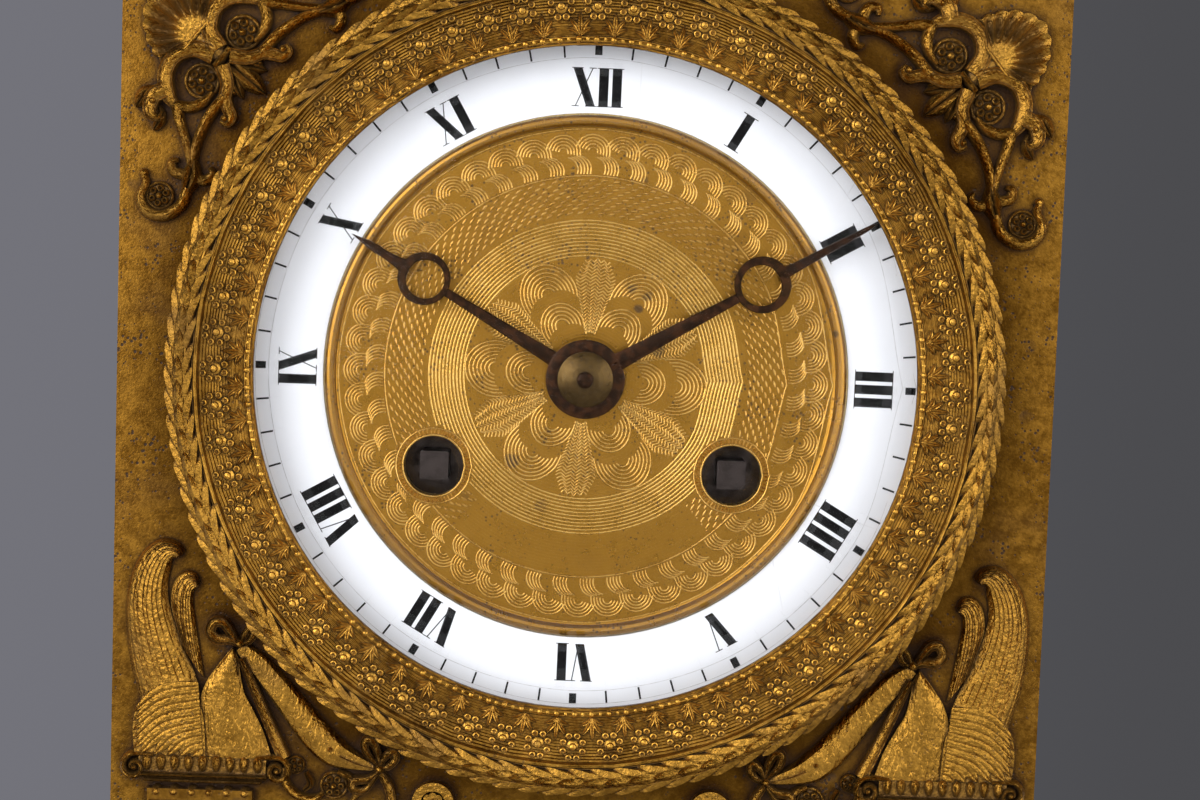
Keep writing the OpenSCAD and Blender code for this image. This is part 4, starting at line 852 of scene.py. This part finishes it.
def scales(count):
    """Two rows of scales, each a group of nested arcs that leans clockwise."""
    meshes = []
    for middle, radius, first, last, inward, shift, turn in (
            (36.1, 2.75, 165, -18, 0.5, 0, 0), (33.3, 2.2, 78, -22, 0.06, -0.46, 0.9 * math.pi / count)):
        unit = centre_relief()
        for k in range(5):
            angles = [math.radians(first + (last - first) * i / 6) for i in range(7)]
            arc = [polar(radius - inward * k, a, shift * k, middle) for a in angles]
            unit.strip(arc, 0.16, 0.11, CUT, 11)
        meshes.append(turned_ring(unit, count, turn))
    return meshes


def lathe_rings():
    """The lines that bound the bands, and the rings round the flower."""
    lines = centre_relief()
    for r in (39.7, 32.3):
        lines.hoop(0, 0, r, 0.16, 0.14, section=CUT, count=160)
    for i in range(11):
        lines.hoop(0, 0, 19.6 + 0.56 * i, 0.14, 0.07, section=CUT, count=120)
    return [lines.mesh("rings")]


def weave(rows=9, grains=100):
    """Rows of slanted grains, each row half a step on from the last."""
    meshes = []
    for row in range(rows):
        unit = centre_relief()
        r = 26.4 + 0.65 * row
        unit.strip([(-0.5, r - 0.15), (0, r + 0.03), (0.5, r + 0.15)], [0.1, 0.25, 0.1], 0.16, CUT, 6)
        meshes.append(turned_ring(unit, grains, math.tau / grains * (0.5 * row % 1)))
    return meshes


def flower(petals):
    """Petals of two groups of nested arcs, with feathered leaves between them."""
    lean = math.radians(4)
    petal = centre_relief()
    for middle, reach, lines in ((14.3, 4.5, 7), (8.9, 3.4, 5)):
        for k in range(lines):
            r, low = reach - 0.56 * k, math.radians(-22 + 6 * k)
            angles = [low + (math.pi - 2 * low) * i / 10 for i in range(11)]
            petal.strip([(r * math.cos(a), middle + 1.14 * r * math.sin(a)) for a in angles],
                        0.17, 0.12, CUT, 25)
    sprig = centre_relief()
    for k in range(22):
        r = 7.4 + 0.54 * k
        wide = 0.9 + 2.3 * min(1, k / 15) - 1.4 * max(0, (k - 16) / 6)
        barbs = [(wide * (i / 4 - 1), r - 0.1 * abs(i - 4) + (-0.1 if i % 2 else 0.45)) for i in range(9)]
        sprig.strip(barbs, 0.15, 0.09, CUT, 17)
    return [turned_ring(petal, petals, math.pi / petals + lean), turned_ring(sprig, petals, lean)]


def trimmed(meshes, hole_clear=6.3, bare_radii=(25.8, 31.9), bare_angles=(-130, -50)):
    """The meshes as one, clear of the winding holes and of the bare place below the middle."""
    work = bmesh.new()
    for data in meshes:
        work.from_mesh(data)
    doomed = []
    for face in work.faces:
        at = face.calc_center_median() / MM
        x, up = at.x, at.z - DIAL_Z
        hole = min(math.hypot(x - s * WIND_X, up - WIND_UP) for s in (-1, 1))
        r, a = math.hypot(x, up), math.degrees(math.atan2(up, x))
        bare = bare_radii[0] < r < bare_radii[1] and bare_angles[0] < a < bare_angles[1]
        if hole < hole_clear or bare:
            doomed.append(face)
    bmesh.ops.delete(work, geom=doomed, context="FACES")
    bmesh.ops.holes_fill(work, edges=[edge for edge in work.edges if edge.is_boundary], sides=0)
    data = bpy.data.meshes.new("engine_turning")
    work.to_mesh(data)
    work.free()
    return tidy_mesh(data, crease=50)


class CLOCK_OT_gilt_centre(bpy.types.Operator):
    """Engine turn the gilt centre of the dial"""

    bl_idname = "clock.gilt_centre"
    bl_label = "Engine turning"

    def execute(self, context):
        given = settings("dial")
        meshes = scales(given.scallops) + lathe_rings() + weave() + flower(given.petals)
        piece("engine_turning", trimmed(meshes), "case", "Turned gilding with painted highlight")
        rims = centre_relief()
        for x in (-WIND_X, WIND_X):
            rims.hoop(x, WIND_UP, 5.0, 0.16, 0.16, count=40)
            rims.hoop(x, WIND_UP, 6.1, 0.14, 0.16, count=40)
            for i in range(56):
                a = math.tau * i / 56
                rims.strip([polar(r, a, x, WIND_UP) for r in (5.2, 6.0)], 0.17, 0.16, RIDGE, 3)
        piece("winding_rims", rims.mesh("winding_rims"), "case", "Turned gilding with painted highlight")
        return {"FINISHED"}


# Corner mounts


def framed(origin, heading, mirror):
    """Places a drawing at an origin, turned, and mirrored left to right where asked."""
    a = math.radians(heading)

    def place(u, v):
        x = origin[0] + u * math.cos(a) - v * math.sin(a)
        up = origin[1] + u * math.sin(a) + v * math.cos(a)
        return (-x if mirror else x), up

    return place


def fan(relief, flutes=11):
    """The fluted shell of a corner mount."""
    along, each = 12, 6
    rows = []
    for i in range(along + 1):
        t = i / along
        row = []
        for j in range(flutes * each + 1):
            a = math.radians(-82 + 164 * j / (flutes * each))
            phase = j % each / each
            groove = math.sin(math.pi * phase) if j % each else 0
            edge = 10.4 - 3.3 * abs(math.sin(a)) ** 1.3 + 0.45 * groove
            r = 1.2 + (edge * 0.95 - 1.2) * t
            lip = 0.5 * max(0, (t - 0.82) / 0.18)
            out = 1.2 + 0.9 * math.sin(math.pi * (0.25 + 0.6 * t)) + lip * groove
            out -= 1.25 * groove * min(1, max(0, t - 0.2) * 3) * (1 - 0.5 * max(0, (t - 0.8) / 0.2))
            row.append((*polar(r, a, 5), out))
        rows.append(row)
    rim = [(5 + (x - 5) * 1.02, y * 1.02, 0.9) for x, y, _ in rows[-1]]
    rows += [rim, [(x, y, -0.1) for x, y, _ in rim]]
    relief.shell(rows)
    relief.strip([(0.2, 0), (2.5, 0), (6.6, 0)], [1.1, 2.4, 2.6], [1.5, 1.9, 1.7], ROUND, 10)


BUD_LEAF = ((1.0, 0.95, 0.8, 0.4), (2.0, 1.7, 1.3), ROUND, 14)
# The strips of one side of a corner mount: line, half widths, heights, cross-section and steps
CORNER_STRIPS = (
    # A leafy scroll round the rosette, and the leaf at its end
    (((1.4, -0.7), (4.4, -1.9), (6.0, -4.8), (5.4, -7.8), (3.2, -10.0), (0.8, -10.8)),
     (1.5, 1.35, 1.25, 1.25, 1.3, 0.7), (2.4, 2.3, 2.1, 2.0, 1.7), RIBBON, 24),
    (((3.6, -9.4), (4.6, -11.8), (3.4, -14.0), (1.9, -13.9), (2.0, -12.7)),
     (1.3, 1.4, 1.1, 0.7, 0.35), (2.1, 2.0, 1.6), RIBBON, 18),
    (((1.2, -10.6), (-0.8, -9.4), (-1.9, -7.4), (-2.0, -5.2)),
     (0.9, 1.0, 0.9, 0.5), (2.0, 1.8, 1.5), ROUND, 14),
    (((-0.6, -1.0), (-3.0, -2.6), (-4.2, -4.6), (-5.6, -5.6), (-6.8, -6.2), (-7.0, -7.5), (-5.9, -7.9)),
     (1.3, 1.15, 1.05, 1.05, 0.95, 0.75, 0.5), (2.3, 2.0, 1.8, 1.4), RIBBON, 28),
    # The stems that meet at the bud
    (((-4.0, -4.6), (-4.0, -8.6), (-5.2, -13.0), (-7.2, -16.6)),
     (1.1, 0.95, 0.85, 0.8), (2.1, 1.9, 1.6), ROUND, 18),
    (((0.9, -10.6), (-1.0, -12.2), (-4.2, -14.2), (-7.2, -16.6)),
     (1.05, 0.9, 0.8, 0.75), (2.0, 1.8, 1.6), ROUND, 18),
    # The bud with its two turned-out leaves
    (((-6.6, -15.4), (-8.0, -17.6), (-8.9, -19.9)), (0.8, 1.9, 0.9), (1.8, 2.6, 1.8), LEAF, 12),
    (((-8.0, -17.4), (-9.9, -16.8), (-10.3, -15.2), (-9.3, -14.6)), *BUD_LEAF),
    (((-7.4, -17.9), (-5.4, -18.8), (-4.2, -17.9), (-4.8, -16.9)), *BUD_LEAF),
    # The hook round the end rosette
    (((-8.7, -19.4), (-9.6, -22.2), (-8.6, -25.2), (-6.2, -26.4), (-3.9, -25.4), (-3.2, -23.2),
      (-1.7, -22.2)),
     (0.95, 1.0, 1.0, 1.0, 0.9, 0.75, 0.55), (1.9, 1.9, 1.8, 1.7, 1.4), ROUND, 28),
)


def corner_half(relief, s):
    """One side of a corner mount: s is 1 or -1."""
    relief.rosette(0.4, s * -5.0, 2.9, 2.3)
    relief.rosette(-6.1, s * -23.2, 2.25, 2.1)
    for line, widths, heights, section, steps in CORNER_STRIPS:
        relief.strip([(u, s * v) for u, v in line], widths, heights, section, steps)
    relief.leaf((4.6, s * -10.6), (5.6, s * -15.0), 1.5, 1.9, bend=0.16 * s)
    relief.leaf((3.2, s * -12.6), (1.2, s * -16.0), 1.1, 1.6, bend=-0.16 * s)
    for u, v, r, h in ((4.2, -12.4, 0.8, 2.5), (-6.1, -7.2, 0.8, 1.9), (-1.9, -22.1, 0.75, 1.5)):
        relief.dome(u, s * v, r, h, sides=10)


def corner_mount(name, mirror):
    """A whole corner mount."""
    relief = Relief()
    relief.place = framed((58.6, 48.7), 39, mirror)
    fan(relief)
    for s in (-1, 1):
        corner_half(relief, s)
        for k in range(3):
            relief.dome(-4.6 + 1.3 * k, s * (3.1 - 0.35 * k * k), 0.6, 1.5, sides=8)
        relief.leaf((-1.2, 0.6 * s), (-6.4, 3.0 * s), 1.2, 1.7)
    relief.leaf((-0.8, 0), (-8.6, 0), 1.9, 2.0)
    relief.strip([(0.2, -1.9), (0.2, 0), (0.2, 1.9)], 0.7, 2.3, ROUND, 8)
    piece(name + "_relief", relief.mesh(name), "case", "Mount gilding", (name,))


class CLOCK_OT_corner_mounts(bpy.types.Operator):
    """Model the shell and scroll mounts above the dial"""

    bl_idname = "clock.corner_mounts"
    bl_label = "Corner mounts"

    def execute(self, context):
        corner_mount("upper_right_mount", False)
        corner_mount("upper_left_mount", True)
        return {"FINISHED"}


# Swans


CAPITAL_TOP = -63.2
FEATHER_EDGES = (0, 0.085, 0.2, 0.29, 0.42, 0.51, 0.63, 0.74, 0.86, 1)


def feathered(depth, crown, base=1.1, edge=0.12):
    """Height of a sheet of long feathers of uneven width laid side by side."""
    def height(t, s):
        rise = min(1, s / edge, (1 - s) / edge)
        at = min(max(s + 0.012 * math.sin(9 * t), 0), 0.999)
        k = max(i for i, low in enumerate(FEATHER_EDGES) if low <= at)
        barb = (at - FEATHER_EDGES[k]) / (FEATHER_EDGES[k + 1] - FEATHER_EDGES[k])
        return base * (0.35 + 0.65 * max(rise, 0)) + crown * math.sin(math.pi * s) + depth * (barb - 0.5)
    return height


def swan(relief):
    """The right-hand swan on its capital, which looks to the middle."""
    outer = [(70.2, -54.6), (71.0, -51.6), (71.8, -48.8), (72.6, -43.5), (72.8, -38.5),
             (72.0, -33.8), (70.0, -29.9), (67.2, -28.0), (64.6, -28.5), (63.5, -30.0), (64.4, -30.9)]
    inner = [(60.5, -53.6), (61.2, -50.8), (62.2, -48.2), (64.4, -43.0), (65.9, -38.2),
             (66.1, -35.0), (65.7, -32.8), (65.5, -31.6), (65.2, -31.0), (64.9, -30.9), (64.6, -30.95)]
    relief.sheet(outer, inner, 64, 60, feathered(0.22, 0.8))
    relief.dome(64.9, -30.2, 1.0, 1.9, sides=12)
    relief.sheet([(59.4, CAPITAL_TOP), (59.6, -59.0), (60.2, -55.4), (62.0, -52.6)],
                 [(70.8, CAPITAL_TOP), (71.2, -59.6), (70.9, -56.4), (69.6, -53.6)], 12, 8, lambda t, s: 1.45)
    for i in range(10):
        foot, tip = Vector((60.7 - 0.1 * i, -51.6 - 1.15 * i)), Vector((71.1, -56.2 - 1.5 * i))
        if tip.y < CAPITAL_TOP:
            tip = foot + (tip - foot) * (foot.y - CAPITAL_TOP) / (foot.y - tip.y)
        relief.leaf(foot, tip, 1.15, 0.36, bend=0.12, lift=[1.45, 1.8 - 0.02 * i, 1.5], count=16)
    far_outer = [(64.0, -44.5), (65.6, -39.2), (65.7, -36.2), (64.9, -34.2), (63.3, -33.1), (61.7, -33.4),
                 (60.9, -34.9)]
    far_inner = [(60.0, -50.5), (60.9, -45.4), (61.5, -41.8), (62.0, -38.6), (62.0, -36.8), (61.7, -36.1),
                 (61.2, -35.7)]
    relief.sheet(far_outer, far_inner, 36, 40, feathered(0.22, 0.45, 0.8))


def swan_body(relief):
    """The breast, neck and head, which carry the chased feather strokes."""
    breast_a = [(59.6, CAPITAL_TOP), (60.2, -58.5), (60.4, -54.2), (59.6, -51.2), (58.0, -48.6),
                (56.5, -46.6), (55.4, -45.2)]
    breast_b = [(48.7, CAPITAL_TOP), (50.1, -59.0), (51.9, -55.4), (53.4, -52.6), (54.1, -49.4),
                (54.4, -47.2), (55.1, -45.6)]
    relief.sheet(breast_a, breast_b, 40, 26, lambda t, s: (
        0.8 + 1.0 * math.sin(math.pi * min(max(s, 0.04), 0.96)) ** 0.6))
    relief.strip(
        [(54.2, -45.2), (51.6, -47.6), (48.6, -50.9), (46.0, -54.0), (43.4, -57.2), (40.9, -60.0),
         (38.6, -61.9), (36.2, -63.0), (33.6, -63.8), (31.6, -64.3)],
        [1.1, 1.9, 2.1, 2.3, 2.5, 2.6, 2.5, 1.8, 1.1, 0.5],
        [1.4, 1.6, 1.7, 1.8, 1.9, 2.0, 2.1, 1.9, 1.6, 1.2], FLAT, 44)


LOOP = ((0.4, 0.65, 0.75, 0.75, 0.65, 0.4), (1.7, 1.9, 1.9, 1.7), RIBBON, 24)
RIBBON_STRIPS = (
    # The line of the beak
    (((37.6, -62.2), (35.0, -63.4), (32.2, -64.2)), 0.2, (2.6, 2.2, 1.6), RIDGE, 10),
    # The ribbon down the breast, and the bow at its head
    (((53.9, -46.9), (52.4, -50.2), (49.9, -56.0), (46.7, -63.1)), (0.6, 0.75, 0.85, 1.05), (2.2, 1.8, 1.6),
     RIBBON, 22),
    (((54.2, -44.6), (55.8, -43.9), (57.8, -43.9), (58.9, -42.7), (58.3, -41.2), (56.9, -41.2), (55.9, -42.4),
      (54.8, -44.0)), (0.6, 0.8, 0.9, 0.9, 0.9, 0.8, 0.7, 0.5), (1.8, 2.0, 2.2, 2.2, 2.0), RIBBON, 30),
    (((54.0, -44.4), (53.4, -43.0), (52.6, -42.0), (52.0, -42.8), (52.6, -44.0), (53.8, -44.6)),
     (0.4, 0.6, 0.7, 0.7, 0.6, 0.4), (1.7, 1.9, 1.9), RIBBON, 22),
    # The bow at the beak, and its hanging end
    (((31.4, -63.8), (33.2, -61.9), (33.7, -60.0), (32.6, -59.7), (31.6, -61.4), (31.2, -63.6)), *LOOP),
    (((31.2, -63.9), (30.3, -62.2), (29.0, -61.4), (28.7, -62.6), (29.7, -63.8), (31.0, -64.2)), *LOOP),
    (((31.2, -64.6), (33.0, -66.0), (35.2, -66.4), (35.4, -67.6), (33.6, -67.9), (31.5, -65.2)), *LOOP),
    (((31.0, -65.0), (29.6, -67.4), (29.2, -70.4), (30.4, -72.6)), (0.6, 0.8, 0.8, 0.5), (1.8, 1.6, 1.3),
     RIBBON, 16),
)


def ribbons(relief):
    """Bows, ribbon ends, the eye and the line of the beak."""
    for x, up, r, h, sides in ((39.2, -61.2, 0.55, 3.0, 10), (54.2, -44.5, 0.95, 2.4, 12),
                               (31.2, -64.3, 0.9, 2.4, 12)):
        relief.dome(x, up, r, h, sides=sides)
    for strip in RIBBON_STRIPS:
        relief.strip(*strip)


CAPITAL_STRIPS = (
    # The fillets
    (((49.4, -66.3), (70.4, -66.3)), 0.42, 2.4, RIBBON, 4),
    (((50.4, -67.2), (69.2, -67.2)), 0.45, 2.0, ROUND, 4),
    (((51.6, -70.6), (68.4, -70.6)), 0.4, 1.9, ROUND, 4),
    # The stems beside it
    (((46.6, -64.6), (46.4, -67.4), (44.2, -69.4), (41.6, -69.6), (40.2, -68.6)), (0.6, 0.8, 0.8, 0.7, 0.4),
     (1.8, 1.8, 1.5), ROUND, 18),
    (((43.2, -65.4), (42.4, -67.2), (43.4, -68.4)), (0.4, 0.7, 0.4), (1.6, 1.8, 1.4), LEAF, 10),
    (((38.0, -65.0), (35.9, -66.2), (34.9, -68.4), (35.9, -70.4)), (0.5, 0.7, 0.7, 0.4), (1.6, 1.6, 1.3),
     ROUND, 14),
)


def capital(relief):
    """The capital under the swan and the foliage beside it."""
    relief.sheet([(49.6, -66.0), (70.2, -66.0)], [(49.6, -63.3), (70.2, -63.3)], 4, 2, lambda t, s: 1.4)
    for strip in CAPITAL_STRIPS:
        relief.strip(*strip)
    for i in range(9):
        x = 50.9 + 2.24 * i
        relief.strip([(x, -65.6), (x, -64.6), (x, -63.5), (x, -63.0)], [0.6, 0.98, 0.98, 0.5],
                     [1.9, 2.6, 2.5, 1.9], ROUND, 9)
    for i in range(6):
        relief.dome(53.0 + 2.86 * i, -69.1, 0.98, 2.2, sides=12)
    for x, s in ((70.7, 1), (48.0, -1)):
        eye = (x + s * 0.2, CAPITAL_TOP - 2)
        spiral = [polar(2.15 - 0.12 * i, math.radians(90 - s * 34 * i), *eye) for i in range(15)]
        spiral.insert(0, (x - s * 3.0, CAPITAL_TOP))
        relief.strip(spiral, [0.5, 0.6, 0.6, 0.5, 0.35], [2.0, 2.3, 2.3, 2.0], ROUND, 40)
        relief.dome(*eye, 0.7, 2.4, sides=10)
    relief.rosette(44.9, -64.3, 1.5, 2.1, 5)
    relief.rosette(38.6, -67.4, 2.3, 2.1, 6)


class CLOCK_OT_swans(bpy.types.Operator):
    """Model the two swans on their capitals"""

    bl_idname = "clock.swans"
    bl_label = "Swans"

    def execute(self, context):
        for side, mirror in (("right", False), ("left", True)):
            node = side + "_swan"
            for part, draw, material in (("wings", (swan,), "Mount gilding"),
                                         ("body", (swan_body,), "Feather gilding"),
                                         ("trim", (ribbons, capital), "Mount gilding")):
                relief = Relief()
                relief.place = framed((0, 0), 0, mirror)
                for action in draw:
                    action(relief)
                name = f"{side}_swan_{part}"
                piece(name, relief.mesh(name), "case", material, (node,))
        return {"FINISHED"}


# Hands

HAND_BORE = 3.2
HOUR_HAND_THICK = 0.6


def hand_outline(length, ring_at, ring_r, hub_r, waist):
    """Half widths along a moon hand, as pairs of distance and half width."""
    return [(hub_r - 0.6, waist * 1.25), (hub_r + 0.8, waist), (ring_at - ring_r + 0.2, waist * 0.55)], [
        (ring_at + ring_r - 0.3, 1.15), (ring_at + ring_r + 1.4, 0.8), (length - 2.5, 0.42), (length, 0.06)]


def hand_relief(node, heading, length, ring_at, ring_r, hole_r, hub_r, waist):
    """A flat moon hand with softened edges, in the space of its node."""
    high, low = (PANEL_Y - corner.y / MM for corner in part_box(node))
    thick = HOUR_HAND_THICK if node == "hour_hand" else high - low
    flat = ((-1, 0), (-1, 0.72), (-0.8, 1), (0.8, 1), (1, 0.72), (1, 0))
    relief = Relief()
    relief.place = framed((0, 0), heading, False)
    relief.base = high - thick
    for part in hand_outline(length, ring_at, ring_r, hub_r, waist):
        relief.strip([(d, 0) for d, _ in part], [w for _, w in part], thick - 0.03, flat, 10)
    middle, half = (ring_r + hole_r) / 2, (ring_r - hole_r) / 2
    relief.hoop(ring_at, 0, middle, [half * (1.25 - 0.45 * math.sin(math.pi * i / 12)) for i in range(13)],
                thick, section=flat, count=60)
    relief.hoop(0, 0, (hub_r + HAND_BORE) / 2, (hub_r - HAND_BORE) / 2, thick, section=flat, count=60)
    return relief


class CLOCK_OT_hands(bpy.types.Operator):
    """Model the two moon hands"""

    bl_idname = "clock.hands"
    bl_label = "Hands"

    def execute(self, context):
        relief = hand_relief("minute_hand", heading=30, length=52.2, ring_at=31.7, ring_r=4.55, hole_r=3.2,
                             hub_r=6.3, waist=1.35)
        piece("minute_hand_steel", relief.mesh("minute_hand_steel"), "minute_train",
              "Browned steel", ("minute_hand",))
        pin = Relief()
        pin.base = PANEL_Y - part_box("centre_wheel")[0].y / MM - 0.1
        pin.dome(0, 0, 1.3, 0.35, sides=20)
        pin.strip([(-0.9, 0), (0.9, 0)], 0.15, 0.4, SLAB, 3)
        piece("hand_pin", pin.mesh("hand_pin"), "minute_train", "Browned steel")
        relief = hand_relief("hour_hand", heading=150, length=43.5, ring_at=30.1, ring_r=4.25, hole_r=3.05,
                             hub_r=5.4, waist=1.2)
        relief.leaf((36.2, 0), (42.4, 0), 0.72, 0.66, section=((-1, 0), (-0.7, 1), (0.7, 1), (1, 0)))
        piece("hour_hand_steel", relief.mesh("hour_hand_steel"), "hour_hand_body",
              "Browned steel", ("hour_hand",))
        return {"FINISHED"}


# Finishes of the model's own nodes; the rest, which is the movement, is brass

NODE_FINISH = {
    "Panel gilding": ("front_panel", "left_side", "right_side", "back_panel"),
    "Case gilding": ("base_plinth", "cornice", "attic", "pilasters"),
    "Mount gilding": ("feet", "base_mount", "side_wreaths", "urn", "lower_centre_mount", "upper_left_mount",
                      "upper_right_mount", "left_swan", "right_swan"),
    "Hatched gilding": ("bezel_ring",),
    "Chased gilding": ("back_ring", "back_door"),
    "Dial gilding": ("gilt_centre",),
    "White enamel": ("enamel_ring",),
    "Browned steel": ("minute_hand", "hour_hand", "cannon_pinion"),
    "Domed glass": ("bezel_glass",),
    "Old brass": ("hand_collet",),
    "Bell metal": ("bell",),
    "Bright steel": ("tie_rods", "strap_screws", "door_latch", "going_mainspring", "strike_mainspring",
                     "going_click", "strike_click", "anchor", "hammer"),
    "Dark steel": ("going_arbor", "strike_arbor"),
}


class CLOCK_OT_finishes(bpy.types.Operator):
    """Give every part of the model its finish"""

    bl_idname = "clock.finishes"
    bl_label = "Finishes"

    def execute(self, context):
        finish_of = {name: finish for finish, names in NODE_FINISH.items() for name in names}
        for name, node in NODES.items():
            if not node.material_slots:
                node.data.materials.append(None)
            for slot in node.material_slots:
                slot.material = bpy.data.materials[finish_of.get(name, "Movement brass")]
        return {"FINISHED"}


# Stage and panel


def area_light(name, place, target, size, power):
    """A soft square lamp that looks at a target."""
    data = bpy.data.lights.new(name, "AREA")
    data.size, data.energy = size, power
    obj = bpy.data.objects.new(name, data)
    obj.location = place
    obj.rotation_euler = (Vector(target) - Vector(place)).to_track_quat("-Z", "Y").to_euler()
    bpy.context.scene.collection.objects.link(obj)


# Distances at which the floor starts and ends its fade, and half its breadth, in metres
FLOOR_FADE = (0.2, 0.34)
FLOOR_HALF = 4

# Camera, fitted to the photograph's frame
IMAGE_WIDTH = 1200
FOCAL_PIXELS = 2032.9
CAMERA_PLACE = (0.00274, -0.37646, 0.20926)
CAMERA_TURNS = ((0.054, "Z"), (90 - 4.344, "X"), (1.921, "Z"))


class CLOCK_OT_stage(bpy.types.Operator):
    """Set up the floor, the background, the lamps and the camera"""

    bl_idname = "clock.stage"
    bl_label = "Stage"

    def execute(self, context):
        given = settings("stage")
        scene = context.scene
        scene.view_settings.view_transform = "Standard"

        data = bpy.data.cameras.new("camera")
        data.sensor_width = 36
        data.lens = data.sensor_width * FOCAL_PIXELS / IMAGE_WIDTH
        data.clip_start, data.clip_end = 0.01, 20
        camera = bpy.data.objects.new("camera", data)
        camera.location = CAMERA_PLACE
        yaw, pitch, roll = (Matrix.Rotation(math.radians(angle), 4, axis) for angle, axis in CAMERA_TURNS)
        camera.rotation_euler = (yaw @ pitch @ roll).to_euler()
        scene.collection.objects.link(camera)
        scene.camera = camera

        floor_mesh = bpy.data.meshes.new("floor")
        corners = [(x * FLOOR_HALF, y * FLOOR_HALF, 0) for x, y in ((-1, -1), (1, -1), (1, 1), (-1, 1))]
        floor_mesh.from_pydata(corners, [], [(0, 1, 2, 3)])
        floor = bpy.data.objects.new("floor", floor_mesh)
        scene.collection.objects.link(floor)
        tree, surface, place = shader("Floor")
        reach = add(tree, "ShaderNodeVectorMath", {0: place}, operation="LENGTH").outputs["Value"]
        grain = remap(tree, cloud(tree, place, 40, 3), 0.3, 0.7)
        paler = tuple(min(1, c * 1.04) for c in given.floor[:3]) + (1,)
        feed(tree, surface, {
            "Base Color": blend_colour(tree, grain, given.floor, paler), "Roughness": 0.9,
            "Specular IOR Level": 0.1})
        seen = tree.nodes.new("ShaderNodeLightPath").outputs["Is Camera Ray"]
        clear = add(tree, "ShaderNodeBsdfTransparent")
        mixed = add(tree, "ShaderNodeMixShader", {
            0: times(tree, remap(tree, reach, *FLOOR_FADE), seen), 1: surface.outputs[0],
            2: clear.outputs[0]})
        feed(tree, tree.nodes["Material Output"], {0: mixed.outputs[0]})
        floor_mesh.materials.append(bpy.data.materials["Floor"])

        world = bpy.data.worlds.new("studio")
        world.use_nodes = True
        scene.world = world
        tree = world.node_tree
        tree.nodes.clear()
        way = tree.nodes.new("ShaderNodeTexCoord").outputs["Generated"]
        parts = add(tree, "ShaderNodeSeparateXYZ", {"Vector": way}).outputs
        side = remap(tree, parts["X"], -0.3, 0.3)
        back = blend_colour(tree, side, given.backdrop_left, given.backdrop_right)
        height = remap(tree, parts["Z"], -0.3, 0.9)
        room = blend_colour(tree, height, (0.06, 0.058, 0.056, 1), (0.26, 0.26, 0.27, 1))
        seen = tree.nodes.new("ShaderNodeLightPath").outputs["Is Camera Ray"]
        light = add(tree, "ShaderNodeBackground", {"Color": blend_colour(tree, seen, room, back)})
        add(tree, "ShaderNodeOutputWorld", {0: light.outputs[0]})

        dial = (0, PANEL_Y * MM, DIAL_Z * MM)
        for name, place, target, size, share in (
                ("key", (-0.8, -0.85, 0.52), dial, 0.9, 1),
                ("fill", (0.9, -0.8, 0.42), dial, 0.9, 0.65),
                ("above", (0, -1.15, 1.0), dial, 0.9, 0.22),
                ("front", (0, -1.5, 0.42), dial, 0.9, 0.17),
                ("rim", (0.1, 0.9, 1.0), (0, 0, 0.2), 0.8, 0.8)):
            area_light(name, place, target, size, given.key_power * share)
        return {"FINISHED"}


class CLOCK_PT_panel(bpy.types.Panel):
    """The clock's operators and settings"""

    bl_label = "Mantel Clock"
    bl_space_type = "VIEW_3D"
    bl_region_type = "UI"
    bl_category = "Clock"

    def draw(self, context):
        for operator in OPERATORS:
            self.layout.operator(operator.bl_idname)
        for label, group in SETTINGS:
            box = self.layout.box()
            given = getattr(context.scene, "clock_" + label)
            for name in group.__annotations__:
                box.prop(given, name)


SETTINGS = (("finish", FinishSettings), ("bezel", BezelSettings), ("dial", DialSettings),
            ("stage", StageSettings))
OPERATORS = (CLOCK_OT_stage, CLOCK_OT_finishes, CLOCK_OT_bezel, CLOCK_OT_dial, CLOCK_OT_gilt_centre,
             CLOCK_OT_corner_mounts, CLOCK_OT_swans, CLOCK_OT_hands)
CLASSES = tuple(group for _, group in SETTINGS) + OPERATORS + (CLOCK_PT_panel,)


def register():
    """Makes the operators, the panel and the settings known to Blender."""
    for item in CLASSES:
        bpy.utils.register_class(item)
    for label, group in SETTINGS:
        setattr(bpy.types.Scene, "clock_" + label, PointerProperty(type=group))


def unregister():
    """Takes them all out again."""
    for label, _ in SETTINGS:
        delattr(bpy.types.Scene, "clock_" + label)
    for item in reversed(CLASSES):
        bpy.utils.unregister_class(item)


def main():
    """Builds the whole picture."""
    register()
    make_metals()
    make_enamel()
    make_steels()
    for operator in OPERATORS:
        group, name = operator.bl_idname.split(".")
        getattr(getattr(bpy.ops, group), name)()


if __name__ == "__main__":
    main()
